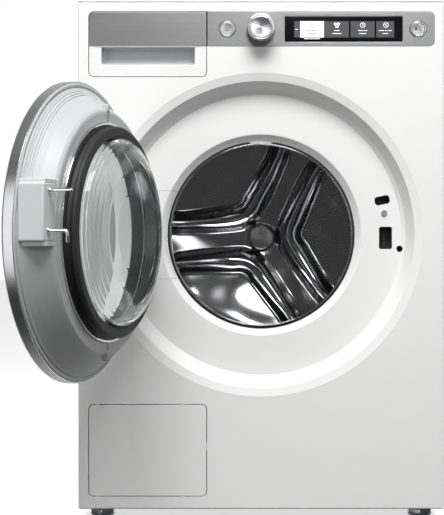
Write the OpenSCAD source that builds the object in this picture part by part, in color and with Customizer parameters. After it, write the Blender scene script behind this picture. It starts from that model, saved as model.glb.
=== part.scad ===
// Front load washing machine, built as separate pieces that come apart on a bench.
// Millimetres, +Z up. Inside the modules X runs to the right of the front, Y runs to the
// back from the front panel's outer face, and Z runs up from the floor.
// placed() then moves everything so that the origin is at the middle of the footprint.

/* [Cabinet] */
// Width over the side panels
cabinet_w = 595; // [590:1:600]
// Height of the top cover above the floor
cabinet_h = 850; // [845:1:870]
// Depth from the front panel to the rear edge of the side panels
cabinet_d = 585; // [580:1:600]
// Height of the feet under the panels
foot_h = 22; // [20:1:26]
// Thickness of the painted sheet
sheet = 1.5; // [1:0.1:2]
// Distance of the feet from the middle
foot_x = 261.4; // [255:0.1:265]

/* [Front panel] */
// Height of the drum axis above the floor
drum_z = 468.5; // [466:0.5:471]
// Outer radius of the shallow bevel around the door recess
recess_rim_r = 263.5; // [262:0.5:265]
// Radius where the bevel meets the recess wall
recess_mouth_r = 249.8; // [248:0.1:252]
// Radius of the recess floor
recess_floor_r = 230.3; // [229:0.1:232]
// Depth of the recess floor behind the front face
recess_depth = 25; // [24:0.5:26]
// Radius of the hole for the drum mouth
mouth_r = 154; // [153.5:0.1:154.5]
// Width of the visible gap around the drawer and the hatch
panel_gap = 1; // [0.6:0.1:1.2]
// Corner radius of the drawer, the strip and the hatch
corner_r = 9; // [6:1:10]

/* [Controls] */
// Height of the button, knob and display centres
control_z = 803; // [802:0.5:804]
// Lower edge of the steel strip
strip_z0 = 774.5; // [773:0.5:776]
// Upper edge of the steel strip
strip_z1 = 831.5; // [830:0.5:832]
// Left end of the drawer opening
drawer_x0 = -281; // [-282:0.5:-280]
// Right end of the drawer opening
drawer_x1 = -88; // [-89:0.5:-87]
// Lower edge of the drawer opening
drawer_z0 = 724.5; // [723:0.5:726]
// Right end of the steel strip
strip_x1 = 282.5; // [281:0.5:283]
// Distance of the power button from the middle, to the left
power_x = -55.3; // [-57:0.1:-54]
// Distance of the start button from the middle
start_x = 255.5; // [254:0.1:257]
// Radius of the two round buttons
button_r = 13.1; // [12:0.1:13.5]
// Radius of the programme knob
knob_r = 23.1; // [22:0.1:24]
// How far the knob stands out of the strip
knob_out = 28; // [24:1:30]
// Left edge of the display glass
display_x0 = 38.5; // [37:0.5:40]
// Right edge of the display glass
display_x1 = 230.5; // [229:0.5:232]
// Height of the display glass
display_h = 42; // [40:0.5:43]

/* [Door] */
// Outer radius of the door bezel
door_r = 227; // [226:0.5:228]
// How far the closed door's moulded frame stands out of the front panel
door_out = 50; // [50:0.5:51]
// Hinge axis, distance from the middle to the left
hinge_x = -195.6; // [-197:0.1:-195]
// Hinge axis, distance in front of the front panel
hinge_out = 22.9; // [22:0.1:24]
// How far the door stands open
door_open = 109; // [100:1:112]
// Radius of the hinge pin
hinge_pin_r = 4; // [3.5:0.1:4.5]

/* [Drum and tub] */
// Inner radius of the drum
drum_r = 235.7; // [234:0.1:236]
// Depth of the drum's back wall behind the front face
drum_back_y = 411; // [405:1:412]
// Outer radius of the tub
tub_r = 250; // [250:0.5:251]
// Inner radius of the steel rim of the mouth
rim_r = 147.5; // [147:0.1:148]
// Radius of the drum shaft
shaft_r = 12.5; // [12:0.1:13]
// Radius of the drum pulley
pulley_r = 140; // [130:1:145]
// Radius of the motor pulley
motor_pulley_r = 12; // [11:0.5:13]

/* [Hidden] */
$fn = 96;

// The open door decides the left and front ends of the whole object's box.
half_w = cabinet_w / 2;
hinge_y = -hinge_out;
bezel_depth = 15;
bezel_round = 4.5;
bezel_lead = 3;
latch_edge = 217;
latch_depth = 58;
door_reach = door_r - hinge_x;
hinge_to_face = door_out - hinge_out;
left_end = hinge_x + (door_reach - bezel_round) * cos(door_open)
  - (hinge_to_face + bezel_lead) * sin(door_open);
front_end = hinge_y - (latch_edge - hinge_x) * sin(door_open)
  + (latch_depth - hinge_to_face) * cos(door_open);
centre_x = (left_end + half_w) / 2;
centre_y = (front_end + cabinet_d) / 2;

panel_top = cabinet_h - 3.5;
return_d = 18;
back_y = cabinet_d - 17;
inner_half_w = half_w - sheet;
slide_gap = 0.05;

hatch_x0 = -281;
hatch_x1 = -88;
hatch_z0 = 42;
hatch_z1 = 192.5;
hatch_pin_x = -270;
hatch_pin_y = 3.2;
hatch_pin_r = 1.6;
hatch_knuckle_z = [75, 155];

grip_x0 = -260;
grip_x1 = -108;
grip_z0 = 744.7;
grip_depth = 20;
tray_back_y = 262;

hinge_ear_z = 45;
hinge_ear_t = 5;
latch_x = 198.7;
latch_z = drum_z + 56.6;
hook_x = 203;
hook_z = drum_z + 0.5;
slot_floor_x0 = 193.5;
slot_floor_x1 = 214.8;

tub_front_y = 51;
tub_split_y = 240;
tub_back_y = 440;
tub_wall = 3;
hub_end_y = 510;
bearing_r = 26;
bearing_y = [440, 492];
bearing_w = 16;
pulley_y0 = 538;
pulley_y1 = 552;
belt_gap = 0.5;
belt_t = 3;
motor_x = 40;
motor_z = 150;
motor_r = 58;
damper_x = 215;
damper_y = [170, 380];
damper_top_z = 165;
damper_lug_z = 292;
pump_x = -185;
pump_z = 105;
pump_tube_r = 30;
outlet_x = -268;
outlet_z = 760;
inlet_x = -200;
inlet_z = 805;
fill_y = 258;
gland_x = 230;
gland_z = 800;
bolt_x = 190;
bolt_z = [340, 640];
bolt_hole_r = 8;
screw_x = 288;
screw_z = [66, 250, 440, 630, 820];

// Axial section of the door's moulded frame: radius, then depth behind the door's face.
frame_outer = [
  [224.6, 3.3], [224.6, 15.5], [223, 17], [219.6, 17], [219.2, 16], [217.6, 16],
  [217.2, 18], [213, 20.5], [206, 27.5], [198, 37.5], [190, 48.5], [186, 54],
  [182.5, 57], [179, 58], [165, 58], [165, 56], [151, 56]
];
frame_inner = [
  [151, 53], [176, 53], [181, 52], [187.5, 45.5], [195.5, 34.5], [203.5, 24.5],
  [210, 17.5], [213.5, 14.5], [213.5, 3.3]
];

// ---------- shared helpers ----------

module placed() {
  translate([-centre_x, -centre_y, 0]) children();
}

// A box from its two corners.
module block(x0, x1, y0, y1, z0, z1) {
  translate([x0, y0, z0]) cube([x1 - x0, y1 - y0, z1 - z0]);
}

// A section of radius and depth, revolved about the drum axis.
module turned(section) {
  translate([0, 0, drum_z]) rotate([-90, 0, 0]) rotate_extrude() polygon(section);
}

module ring(r0, r1, y0, y1) {
  turned([[r0, y0], [r1, y0], [r1, y1], [r0, y1]]);
}

module rod_y(x, z, r, y0, y1) {
  translate([x, y0, z]) rotate([-90, 0, 0]) cylinder(r = r, h = y1 - y0);
}

module rod_z(x, y, r, z0, z1) {
  translate([x, y, z0]) cylinder(r = r, h = z1 - z0);
}

module rod_x(y, z, r, x0, x1) {
  translate([x0, y, z]) rotate([0, 90, 0]) cylinder(r = r, h = x1 - x0);
}

// An upright plate with rounded corners: lower left, lower right, upper right, upper left.
module plate(x0, x1, z0, z1, y0, y1, r, round = [1, 1, 1, 1]) {
  corners = [[x0, z0, 1, 1], [x1, z0, -1, 1], [x1, z1, -1, -1], [x0, z1, 1, -1]];
  translate([0, y1, 0]) rotate([90, 0, 0]) linear_extrude(height = y1 - y0) {
    translate([x0 + r, z0]) square([x1 - x0 - 2 * r, z1 - z0]);
    translate([x0, z0 + r]) square([x1 - x0, z1 - z0 - 2 * r]);
    for (i = [0:3]) {
      c = corners[i];
      middle = [c[0] + c[2] * r, c[1] + c[3] * r];
      if (round[i] == 1) translate(middle) circle(r = r);
      else translate([min(c[0], middle[0]), min(c[1], middle[1])]) square(r);
    }
  }
}

// Places a piece that is drawn in the closed door's position.
module swung() {
  translate([hinge_x, hinge_y, 0])
    rotate([0, 0, -door_open])
      translate([-hinge_x, -hinge_y, 0]) children();
}

// A section of radius and depth behind the door's face, for the closed door.
module door_turned(section) {
  turned([for (p = section) [p[0], p[1] - door_out]]);
}

// ---------- cabinet ----------

// Clearance holes for the screws that hold the back panel to the side panels.
module panel_screw_holes() {
  for (side = [-1, 1], z = screw_z) rod_y(side * screw_x, z, 1.85, back_y - 9, back_y + 1);
}

module side_panel() {
  block(-half_w, -half_w + sheet, return_d + 0.5, cabinet_d, foot_h, panel_top);
  block(-half_w, -half_w + 14, return_d + 2, return_d + 2 + sheet, foot_h + 40, panel_top - 30);
  difference() {
    block(-half_w, -half_w + 16, back_y - 2 * sheet, back_y - sheet, foot_h, panel_top);
    panel_screw_holes();
  }
}

module left_side_panel() {
  color("whitesmoke") placed() side_panel();
}

module right_side_panel() {
  color("whitesmoke") placed() mirror([1, 0, 0]) side_panel();
}

module back_panel() {
  color("gainsboro") placed() difference() {
    union() {
      block(-inner_half_w, inner_half_w, back_y - sheet, back_y, foot_h + 2, panel_top);
      // Pressed stiffening bead around the pulley
      ring(205, 215, back_y, back_y + 4);
    }
    for (x = [-bolt_x, bolt_x], z = bolt_z) rod_y(x, z, bolt_hole_r, back_y - 9, back_y + 9);
    rod_y(inlet_x, inlet_z, 15, back_y - 9, back_y + 9);
    rod_y(outlet_x, outlet_z, 13.4, back_y - 9, back_y + 9);
    panel_screw_holes();
    rod_y(gland_x, gland_z, 9, back_y - 9, back_y + 9);
    for (i = [0:6]) {
      plate(60, 150, 90 + 12 * i, 95 + 12 * i, back_y - 9, back_y + 9, 2.4);
    }
  }
}

module top_cover() {
  color("white") placed() {
    block(-half_w, half_w, 0, cabinet_d, cabinet_h - 3, cabinet_h);
    // Skirt that locates the cover between the panels
    difference() {
      block(-half_w + 17, half_w - 17, 21, back_y - 5, panel_top - 9, cabinet_h - 3);
      block(-half_w + 20, half_w - 20, 24, back_y - 8, panel_top - 10, cabinet_h - 3);
    }
  }
}

module upper_crossbars() {
  color("silver") placed() for (y = [300, back_y - 40]) {
    block(-inner_half_w, inner_half_w, y, y + 30, panel_top - 12, panel_top - 10);
    block(-inner_half_w, inner_half_w, y, y + 2, panel_top - 14, panel_top - 10);
    for (side = [-1, 1]) {
      block(min(side * inner_half_w, side * (inner_half_w - 2)),
        max(side * inner_half_w, side * (inner_half_w - 2)), y, y + 30,
        panel_top - 40, panel_top - 10);
    }
  }
}

module base_pan() {
  color("dimgray") placed() {
    difference() {
      union() {
        block(-inner_half_w + 1, inner_half_w - 1, 20, back_y - 3.5, foot_h + 2, 60);
      }
      block(-inner_half_w + 4, inner_half_w - 4, 23, back_y - 5.5, foot_h + 5, 61);
      for (side = [-1, 1]) rod_z(side * foot_x, 45, 5.1, 0, 62);
    }
    for (side = [-1, 1]) {
      // Threaded bosses of the front feet
      difference() {
        rod_z(side * foot_x, 45, 13, foot_h + 2, 48);
        rod_z(side * foot_x, 45, 5.1, 0, 62);
      }
      // Fixed rear feet, moulded on
      rod_z(side * foot_x, back_y - 45, 18, 0, foot_h + 2);
    }
    // Pump bed and damper seats
    block(pump_x - 20, pump_x + 20, 45, 125, foot_h + 5, pump_z - pump_tube_r - 4);
    for (side = [-1, 1], y = damper_y) rod_z(side * damper_x, y, 24, foot_h + 5, 34);
  }
}

// Area of the recess floor that the hinge cover fills.
module hinge_window(grow) {
  block(-recess_floor_r + 2 - grow, -mouth_r * 0.5, recess_depth - 3, recess_depth + 14,
    drum_z - 72 - grow, drum_z + 72 + grow);
}

module recess_wall() {
  turned([
    [recess_rim_r, 0], [recess_mouth_r, 3], [recess_mouth_r - 13, recess_depth - 4],
    [recess_floor_r, recess_depth], [mouth_r + 10.5, recess_depth],
    [mouth_r, recess_depth + 9], [mouth_r, recess_depth + 17],
    [mouth_r + sheet, recess_depth + 17], [mouth_r + sheet, recess_depth + 9.8],
    [mouth_r + 11.2, recess_depth + sheet], [recess_floor_r + 0.8, recess_depth + sheet],
    [recess_mouth_r - 11.6, recess_depth - 2.6], [recess_mouth_r + 1, 4.5],
    [recess_rim_r, sheet], [recess_rim_r + 2, sheet], [recess_rim_r + 2, sheet / 2],
    [recess_rim_r, sheet / 2]
  ]);
}

// Openings of the lock in the recess floor.
module latch_slots(y0, y1) {
  translate([latch_x, 0, latch_z]) rotate([0, -12, 0]) translate([-latch_x, 0, -latch_z])
    plate(latch_x - 12.4, latch_x + 12.4, latch_z - 7, latch_z + 7, y0, y1, 5);
  plate(slot_floor_x0, slot_floor_x1, drum_z - 23.5, drum_z + 13.1, y0, y1, 3.5);
}

module front_panel() {
  color("white") placed() {
    difference() {
      union() {
        block(-half_w, half_w, 0, sheet, foot_h, panel_top);
        for (side = [-1, 1]) {
          block(min(side * half_w, side * inner_half_w), max(side * half_w, side * inner_half_w),
            0, return_d, foot_h, panel_top);
        }
        block(-half_w, half_w, 0, 12, foot_h, foot_h + sheet);
        block(-half_w, half_w, 0, 12, panel_top - sheet, panel_top);
      }
      rod_y(0, drum_z, recess_rim_r, -1, sheet + 1);
      plate(drawer_x0, drawer_x1, drawer_z0, strip_z1, -1, 3, corner_r, [1, 1, 0, 1]);
      plate(drawer_x1 - 1, strip_x1, strip_z0, strip_z1, -1, 3, corner_r, [0, 1, 1, 0]);
      plate(hatch_x0, hatch_x1, hatch_z0, hatch_z1, -1, 3, corner_r);
    }
    difference() {
      recess_wall();
      difference() {
        hinge_window(0.4);
        rod_y(0, drum_z, mouth_r + 2.5, 0, 60);
      }
      latch_slots(0, 60);
      rod_y(227.1, drum_z - 23, 5.2, recess_depth - 6, 60);
      rod_y(201.9, drum_z + 36, 2.6, 0, 60);
    }
    // Hinge pins of the pump hatch, each on a bracket that reaches round behind it
    for (z = hatch_knuckle_z) {
      block(hatch_x0 - 9, hatch_x0 - 2, sheet, sheet + 1.2, z - 16, z - 8);
      block(hatch_x0 - 9, hatch_x0 - 6, sheet, 17, z - 13, z - 10);
      block(hatch_x0 - 9, hatch_pin_x + 4, 14.5, 17, z - 13, z - 10);
      block(hatch_pin_x - 0.5, hatch_pin_x + 4, hatch_pin_y - 1, 17, z - 13, z - 10);
      rod_z(hatch_pin_x, hatch_pin_y, hatch_pin_r, z - 11, z + 6);
    }
  }
}

module opening_rim() {
  color("silver") placed() turned([
    [rim_r, 31], [rim_r + 0.8, 30], [rim_r + 2.7, 30], [rim_r + 3.5, 31], [rim_r + 3.5, 42],
    [158, 42], [158, 44], [rim_r, 44]
  ]);
}

module tub_bellows() {
  color("dimgray") placed() turned([
    [152, 44], [163, 44], [163, 47], [160.2, 47], [160.2, 45.4], [152, 45.4]
  ]);
}

// ---------- controls ----------

module control_fascia() {
  color("silver") placed() difference() {
    plate(drawer_x1 + 0.6, strip_x1 - 0.4, strip_z0 + 0.4, strip_z1 - 0.4, 0, 2.2,
      corner_r - 1, [0, 1, 1, 0]);
    plate(display_x0, display_x1, control_z - display_h / 2, control_z + display_h / 2,
      -1, 3, 4);
    rod_y(power_x, control_z, button_r + 0.8, -1, 3);
    rod_y(start_x, control_z, button_r + 0.8, -1, 3);
    rod_y(0, control_z, 12, -1, 3);
  }
}

module display_window() {
  color("black") placed()
    plate(display_x0 + 0.3, display_x1 - 0.3, control_z - display_h / 2 + 0.3,
      control_z + display_h / 2 - 0.3, -0.4, 3, 3.8);
}

module control_board() {
  color("seagreen") placed() difference() {
    union() {
      block(-84, 278, 14, 16, strip_z0 + 6, strip_z1 - 6);
      // Display module
      block(display_x0 + 6, display_x1 - 6, 3.4, 14, control_z - 19, control_z + 19);
      // Rotary encoder bush
      rod_y(0, control_z, 8, 3.4, 14);
      // Carriers that hold the board behind the strip
      for (x = [-80, 272]) block(x, x + 4, 2.4, 14, control_z - 15, control_z + 15);
    }
    rod_y(0, control_z, 3 + slide_gap, -1, 20);
  }
}

module round_button(x) {
  rod_y(x, control_z, button_r, -1.2, 8);
  rod_y(x, control_z, 4, 8, 12);
}

module power_button() {
  color("silver") placed() round_button(power_x);
}

module start_button() {
  color("silver") placed() round_button(start_x);
}

module knob_plunger() {
  color("gray") placed() {
    rod_y(0, control_z, 3, -knob_out + 6, 16);
    rod_y(0, control_z, 5.5, -1.6, 1.6);
  }
}

module program_knob() {
  color("silver") placed() difference() {
    union() {
      rod_y(0, control_z, knob_r - 1, -knob_out, -knob_out + 1);
      rod_y(0, control_z, knob_r, -knob_out + 1, -2);
    }
    // Hollow behind the face, around the hub
    difference() {
      rod_y(0, control_z, knob_r - 3, -knob_out + 4, -1);
      rod_y(0, control_z, 8, -knob_out + 4, -1);
    }
    rod_y(0, control_z, 3 + slide_gap, -knob_out + 5.5, -1);
  }
}

// ---------- detergent drawer ----------

module drawer_front() {
  color("white") placed() difference() {
    union() {
      // Visible lower part
      plate(drawer_x0 + panel_gap, drawer_x1 - panel_gap, drawer_z0 + panel_gap, strip_z0, 0, 5,
        corner_r - panel_gap, [1, 1, 0, 0]);
      // Carrier behind the steel strip
      plate(drawer_x0 + 3, drawer_x1 - 3, strip_z0 - 2, strip_z1 - 3, 1.4, 5, 6, [0, 0, 1, 1]);
      // Back of the grip
      block(grip_x0 - 2, grip_x1 + 2, 5, grip_depth + 2, grip_z0 - 2, strip_z0 + 2);
    }
    block(grip_x0, grip_x1, -1, grip_depth, grip_z0, strip_z0 + 0.01);
  }
}

module drawer_trim() {
  color("silver") placed()
    plate(drawer_x0 + panel_gap, drawer_x1 - panel_gap, strip_z0 + 0.1, strip_z1 - panel_gap,
      0, 1.3, corner_r - panel_gap, [0, 0, 0, 1]);
}

module drawer_tray() {
  x0 = drawer_x0 + 7;
  x1 = drawer_x1 - 7;
  z0 = drawer_z0 + 12;
  z1 = strip_z1 - 12;
  y0 = grip_depth + 2;
  color("white") placed() difference() {
    union() {
      block(x0, x1, y0, tray_back_y, z0, z1);
      // Side cheeks that reach forward to the drawer front
      block(x0, x0 + 3, 5, y0, z0, z1);
      block(x1 - 3, x1, 5, y0, z0, z1);
    }
    // Main wash, pre-wash and softener compartments
    block(x0 + 2, x0 + 80, y0 + 2, tray_back_y - 2, z0 + 2, z1 + 1);
    block(x0 + 82, x0 + 132, y0 + 2, tray_back_y - 2, z0 + 2, z1 + 1);
    block(x0 + 134, x1 - 2, y0 + 2, tray_back_y - 2, z0 + 2, z1 + 1);
  }
}

module dispenser_housing() {
  x0 = drawer_x0 + 3;
  x1 = drawer_x1 - 3;
  z0 = drawer_z0 + 6;
  z1 = strip_z1 - 4;
  color("lightgray") placed() difference() {
    union() {
      block(x0, x1, 6.2, 285, z0, z1);
      rod_z(inlet_x, fill_y, 17, 712, z0 + 1);
    }
    block(x0 + 2.5, x1 - 2.5, 0, 282.5, z0 + 2.5, z1 - 2.5);
    rod_z(inlet_x, fill_y, 14.5, 700, z0 + 4);
    rod_y(inlet_x, inlet_z, 6, 280, 290);
  }
}

module inlet_valve() {
  color("lightsteelblue") placed() difference() {
    union() {
      block(inlet_x - 24, inlet_x + 24, 520, 560, inlet_z - 20, inlet_z + 20);
      rod_y(inlet_x, inlet_z, 13.2, 560, back_y + 14);
      rod_y(inlet_x, inlet_z, 8, 285, 520);
    }
    rod_y(inlet_x, inlet_z, 9, 545, back_y + 15);
    rod_y(inlet_x, inlet_z, 6, 284, 515);
  }
}

// ---------- pump ----------

module pump_hatch() {
  color("white") placed() {
    plate(hatch_x0 + panel_gap, hatch_x1 - panel_gap, hatch_z0 + panel_gap,
      hatch_z1 - panel_gap, 0, 1.2, corner_r - panel_gap);
    for (z = hatch_knuckle_z) difference() {
      union() {
        rod_z(hatch_pin_x, hatch_pin_y, 3.1, z - 7, z + 7);
        block(hatch_pin_x, hatch_pin_x + 12, 1, 3.2, z - 7, z + 7);
      }
      rod_z(hatch_pin_x, hatch_pin_y, hatch_pin_r + 0.06, z - 8, z + 8);
    }
  }
}

module drain_pump() {
  color("lightgray") placed() {
    difference() {
      union() {
        rod_y(pump_x, pump_z, pump_tube_r, 32, 100);
        rod_z(pump_x, 80, 17, pump_z + 20, pump_z + 45);
        rod_x(80, pump_z, 9, pump_x - 42, pump_x - 26);
      }
      rod_y(pump_x, pump_z, pump_tube_r - 3, 31, 96);
      rod_z(pump_x, 80, 14.5, pump_z, pump_z + 46);
      rod_x(80, pump_z, 7, pump_x - 43, pump_x - 20);
    }
    // Pump motor
    rod_y(pump_x, pump_z, 24, 100, 138);
  }
}

module filter_cap() {
  color("dimgray") placed() {
    rod_y(pump_x, pump_z, pump_tube_r, 22, 31.4);
    rod_y(pump_x, pump_z, pump_tube_r - 3.4, 31.4, 60);
    block(pump_x - 24, pump_x + 24, 11, 22, pump_z - 4, pump_z + 4);
  }
}

// The pump's discharge pipe, up the left side to the spigot at the back.
module drain_pipe() {
  color("dimgray") placed() difference() {
    union() {
      rod_x(80, pump_z, 9, outlet_x, pump_x - 42);
      rod_y(outlet_x, pump_z, 9, 80, 540);
      rod_z(outlet_x, 540, 9, pump_z, outlet_z);
      rod_y(outlet_x, outlet_z, 9, 540, 556);
      rod_y(outlet_x, outlet_z, 11, 553, back_y + 15);
      for (p = [[80, pump_z], [540, pump_z]]) translate([outlet_x, p[0], p[1]]) sphere(r = 9);
      translate([outlet_x, 540, outlet_z]) sphere(r = 9);
    }
    rod_y(outlet_x, outlet_z, 8, 556, back_y + 16);
  }
}

// ---------- hinge, lock and fasteners ----------

module hinge_ear() {
  translate([0, 0, -hinge_ear_t / 2]) {
    translate([hinge_x, hinge_y, 0]) cylinder(r = 8, h = hinge_ear_t);
    translate([hinge_x, hinge_y - 4, 0]) cube([26, 8, hinge_ear_t]);
    translate([hinge_x + 18, hinge_y - 4, 0])
      cube([8, recess_depth + 8 - hinge_y, hinge_ear_t]);
  }
}

module hinge_bracket() {
  color("silver") placed() difference() {
    union() {
      block(-224, -167, recess_depth + 2, recess_depth + 5, drum_z - 60, drum_z + 60);
      for (side = [-1, 1]) translate([0, 0, drum_z + side * hinge_ear_z]) hinge_ear();
    }
    rod_z(hinge_x, hinge_y, hinge_pin_r, drum_z - 60, drum_z + 60);
  }
}

module hinge_pin() {
  color("gray") placed() rod_z(hinge_x, hinge_y, hinge_pin_r, drum_z - 51, drum_z + 51);
}

module hinge_cover() {
  color("white") placed() difference() {
    intersection() {
      turned([
        [recess_floor_r - 1, recess_depth], [mouth_r + 10.5, recess_depth],
        [mouth_r + 3, recess_depth + 6.43], [mouth_r + 3, recess_depth + 7.93],
        [mouth_r + 11.2, recess_depth + sheet], [recess_floor_r - 1, recess_depth + sheet]
      ]);
      hinge_window(0);
    }
    for (side = [-1, 1]) {
      block(hinge_x + 16, hinge_x + 28, 0, 60, drum_z + side * hinge_ear_z - 4,
        drum_z + side * hinge_ear_z + 4);
    }
  }
}

module door_lock() {
  color("dimgray") placed() {
    difference() {
      block(184, 224, recess_depth + 2, recess_depth + 22, drum_z - 30, drum_z + 70);
      latch_slots(recess_depth, recess_depth + 20.5);
      rod_y(201.9, drum_z + 36, 2.6, 0, 60);
    }
    // Slider that catches the hook
    block(200, 203.5, recess_depth + 16, recess_depth + 21, drum_z - 23.6, drum_z + 13.2);
  }
}

module fasteners() {
  color("silver") placed() {
    // Lock screw in the recess floor
    rod_y(201.9, drum_z + 36, 4.8, recess_depth - 2.2, recess_depth);
    rod_y(201.9, drum_z + 36, 2.5, recess_depth, recess_depth + 16);
    // Back panel screws
    for (side = [-1, 1], z = screw_z) {
      rod_y(side * screw_x, z, 4.5, back_y, back_y + 2.6);
      rod_y(side * screw_x, z, 1.8, back_y - 8, back_y);
    }
    // Locknuts of the front feet
    for (side = [-1, 1]) difference() {
      translate([side * foot_x, 45, foot_h - 3.2]) cylinder(r = 10, h = 5, $fn = 6);
      rod_z(side * foot_x, 45, 5.1, 0, 62);
    }
  }
}

module mains_inlet() {
  color("dimgray") placed() difference() {
    union() {
      rod_y(gland_x, gland_z, 12, back_y, back_y + 4);
      rod_y(gland_x, gland_z, 8.8, back_y - 8, back_y);
      rod_y(gland_x, gland_z, 7.5, back_y + 4, back_y + 12);
    }
    rod_y(gland_x, gland_z, 4.5, back_y - 9, back_y + 13);
  }
}

// ---------- door ----------

module door_bezel() {
  color("silver") placed() swung() door_turned([
    [door_r, 3 - bezel_lead], [door_r - 1.2, 0.9 - bezel_lead],
    [door_r - bezel_round, -bezel_lead], [187, -bezel_lead], [187, 2 - bezel_lead],
    [door_r - 5, 2 - bezel_lead], [door_r - 2, 4.5 - bezel_lead],
    [door_r - 2, bezel_depth], [door_r, bezel_depth]
  ]);
}

module door_outer_glass() {
  color("dimgray") placed() swung() door_turned([[0, -0.9], [219, -0.9], [219, 3.1], [0, 3.1]]);
}

module door_inner_frame() {
  color("lightgray") placed() swung() difference() {
    door_turned(concat(frame_outer, frame_inner));
    block(-214, -165, -door_out + 8, 12, drum_z - 51, drum_z + 51);
  }
}

module door_clamp_ring() {
  color("silver") placed() swung() door_turned([[160.8, 56], [164.6, 56], [164.6, 61.4],
    [163.8, 62.2], [161.6, 62.2], [160.8, 61.4]]);
}

module door_gasket() {
  color("black") placed() swung() door_turned([
    [160.4, 56.2], [160.4, 62], [155, 63], [153, 66], [153, 70], [160, 73], [160, 76],
    [157, 79], [144, 79], [142.2, 77], [142.2, 60.6], [150.8, 60.6], [150.8, 56.2]
  ]);
}

module door_glass_bowl() {
  color("lightblue", 0.4) placed() swung() door_turned([
    [150.3, 56.3], [150.3, 60.2], [141.8, 60.2], [141, 80], [140, 84.5], [137, 88.8],
    [132, 92.4], [124, 95.6], [112, 98.3], [90, 101], [60, 102.8], [0, 103.5],
    [0, 99], [60, 98.3], [90, 96.6], [110, 94], [121, 91.4], [129, 88.4], [133.5, 85],
    [136.2, 80], [137, 56.3]
  ]);
}

module latch_cover() {
  color("gainsboro") placed() swung() difference() {
    block(176, latch_edge, -door_out + 17.5, -door_out + latch_depth, drum_z - 21, drum_z + 72);
    // Seat that follows the moulded frame
    door_turned(concat([[0, 0]], [[224.6, 0]], frame_outer, [[0, latch_depth]]));
    // Pocket between the cover and the hooks
    block(180, 212, -door_out + 49, -door_out + latch_depth + 1, drum_z - 15, drum_z + 66);
  }
}

module latch_hooks() {
  hook_base = -door_out + 52;
  color("silver") placed() swung() {
    rod_y(latch_x, latch_z, 2.3, hook_base, 44);
    rod_y(hook_x, hook_z, 2.7, hook_base, 38);
    translate([hook_x, 35.3, 0]) rod_z(0, 0, 2.7, drum_z - 17, hook_z);
    // Plates that root the rods in the cover
    block(latch_x - 6, latch_x + 6, hook_base - 3, hook_base, latch_z - 6, latch_z + 6);
    block(hook_x - 6, hook_x + 6, hook_base - 3, hook_base, hook_z - 6, hook_z + 6);
  }
}

module hinge_leaf() {
  color("silver") placed() swung() intersection() {
    difference() {
      union() {
        rod_z(hinge_x, hinge_y, 7, drum_z - 38, drum_z + 38);
        block(hinge_x - 4, hinge_x + 4, -door_out + 14, hinge_y, drum_z - 38, drum_z + 38);
        block(-206, -168, -door_out + 14, -door_out + 17, drum_z - 54, drum_z + 54);
        for (z = [drum_z - 54, drum_z + 51.5]) {
          block(-206, -168, -door_out + 14, 3, z, z + 2.5);
        }
      }
      rod_z(hinge_x, hinge_y, hinge_pin_r + slide_gap, drum_z - 60, drum_z + 60);
    }
    union() {
      door_turned(concat([[0, 3.3], [0, 53]], frame_inner));
      rod_z(hinge_x, hinge_y, 7, drum_z - 38, drum_z + 38);
    }
  }
}

// ---------- tub, suspension and drive ----------

module tub_spigot(x, y, side) {
  surface_z = drum_z + side * sqrt(tub_r * tub_r - x * x);
  z0 = side > 0 ? surface_z - 12 : surface_z - 20;
  difference() {
    rod_z(x, y, 14.2, z0, z0 + 34);
    rod_z(x, y, 11.5, z0 - 1, z0 + 35);
    rod_y(0, drum_z, tub_r - tub_wall, tub_front_y, tub_back_y);
  }
}

module tub_front() {
  color("lightgray") placed() {
    difference() {
      turned([
        [tub_r, tub_split_y], [tub_r, tub_front_y + 4], [tub_r - 4, tub_front_y],
        [163, tub_front_y], [163, 47], [160.2, 47], [160.2, tub_front_y + tub_wall],
        [tub_r - 5, tub_front_y + tub_wall], [tub_r - tub_wall, tub_front_y + 6],
        [tub_r - tub_wall, tub_split_y]
      ]);
      rod_z(pump_x, 80, 11.5, 200, 400);
    }
    ring(tub_r, tub_r + 4, tub_split_y - 6, tub_split_y);
    tub_spigot(pump_x, 80, -1);
    // Damper lugs
    for (side = [-1, 1]) tub_lug(side, damper_y[0]);
  }
}

module tub_lug(side, y) {
  difference() {
    block(min(side * 196, side * 234), max(side * 196, side * 234), y - 14, y + 14,
      damper_lug_z, 380);
    rod_y(0, drum_z, tub_r - 0.5, tub_front_y, tub_back_y);
  }
}

module tub_rear() {
  color("lightgray") placed() {
    difference() {
      turned([
        [tub_r, tub_split_y], [tub_r, tub_back_y - 4], [tub_r - 4, tub_back_y],
        [90, tub_back_y], [34, tub_back_y + 14], [34, hub_end_y],
        [bearing_r, hub_end_y], [bearing_r, bearing_y[1]], [23.5, bearing_y[1]],
        [23.5, bearing_y[0] + bearing_w], [bearing_r, bearing_y[0] + bearing_w],
        [bearing_r, bearing_y[0]], [18, bearing_y[0]], [18, tub_back_y - tub_wall],
        [tub_r - 5, tub_back_y - tub_wall], [tub_r - tub_wall, tub_back_y - 6],
        [tub_r - tub_wall, tub_split_y]
      ]);
      rod_z(inlet_x, fill_y, 11.5, 560, 700);
      block(-32, 32, tub_back_y - 5, tub_back_y + 1, drum_z - 246, drum_z - 234);
    }
    ring(tub_r, tub_r + 4, tub_split_y, tub_split_y + 6);
    tub_spigot(inlet_x, fill_y, 1);
    for (side = [-1, 1]) tub_lug(side, damper_y[1]);
  }
}

module bearings() {
  color("silver") placed() for (y = bearing_y) {
    ring(shaft_r + slide_gap, bearing_r, y, y + bearing_w);
  }
}

module counterweights() {
  color("gray") placed() difference() {
    union() {
      block(-60, 190, 96, 228, drum_z + 150, drum_z + 292);
      block(-80, 80, 70, 130, drum_z - 296, drum_z - 200);
    }
    rod_y(0, drum_z, tub_r, tub_front_y, tub_back_y);
  }
}

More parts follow.
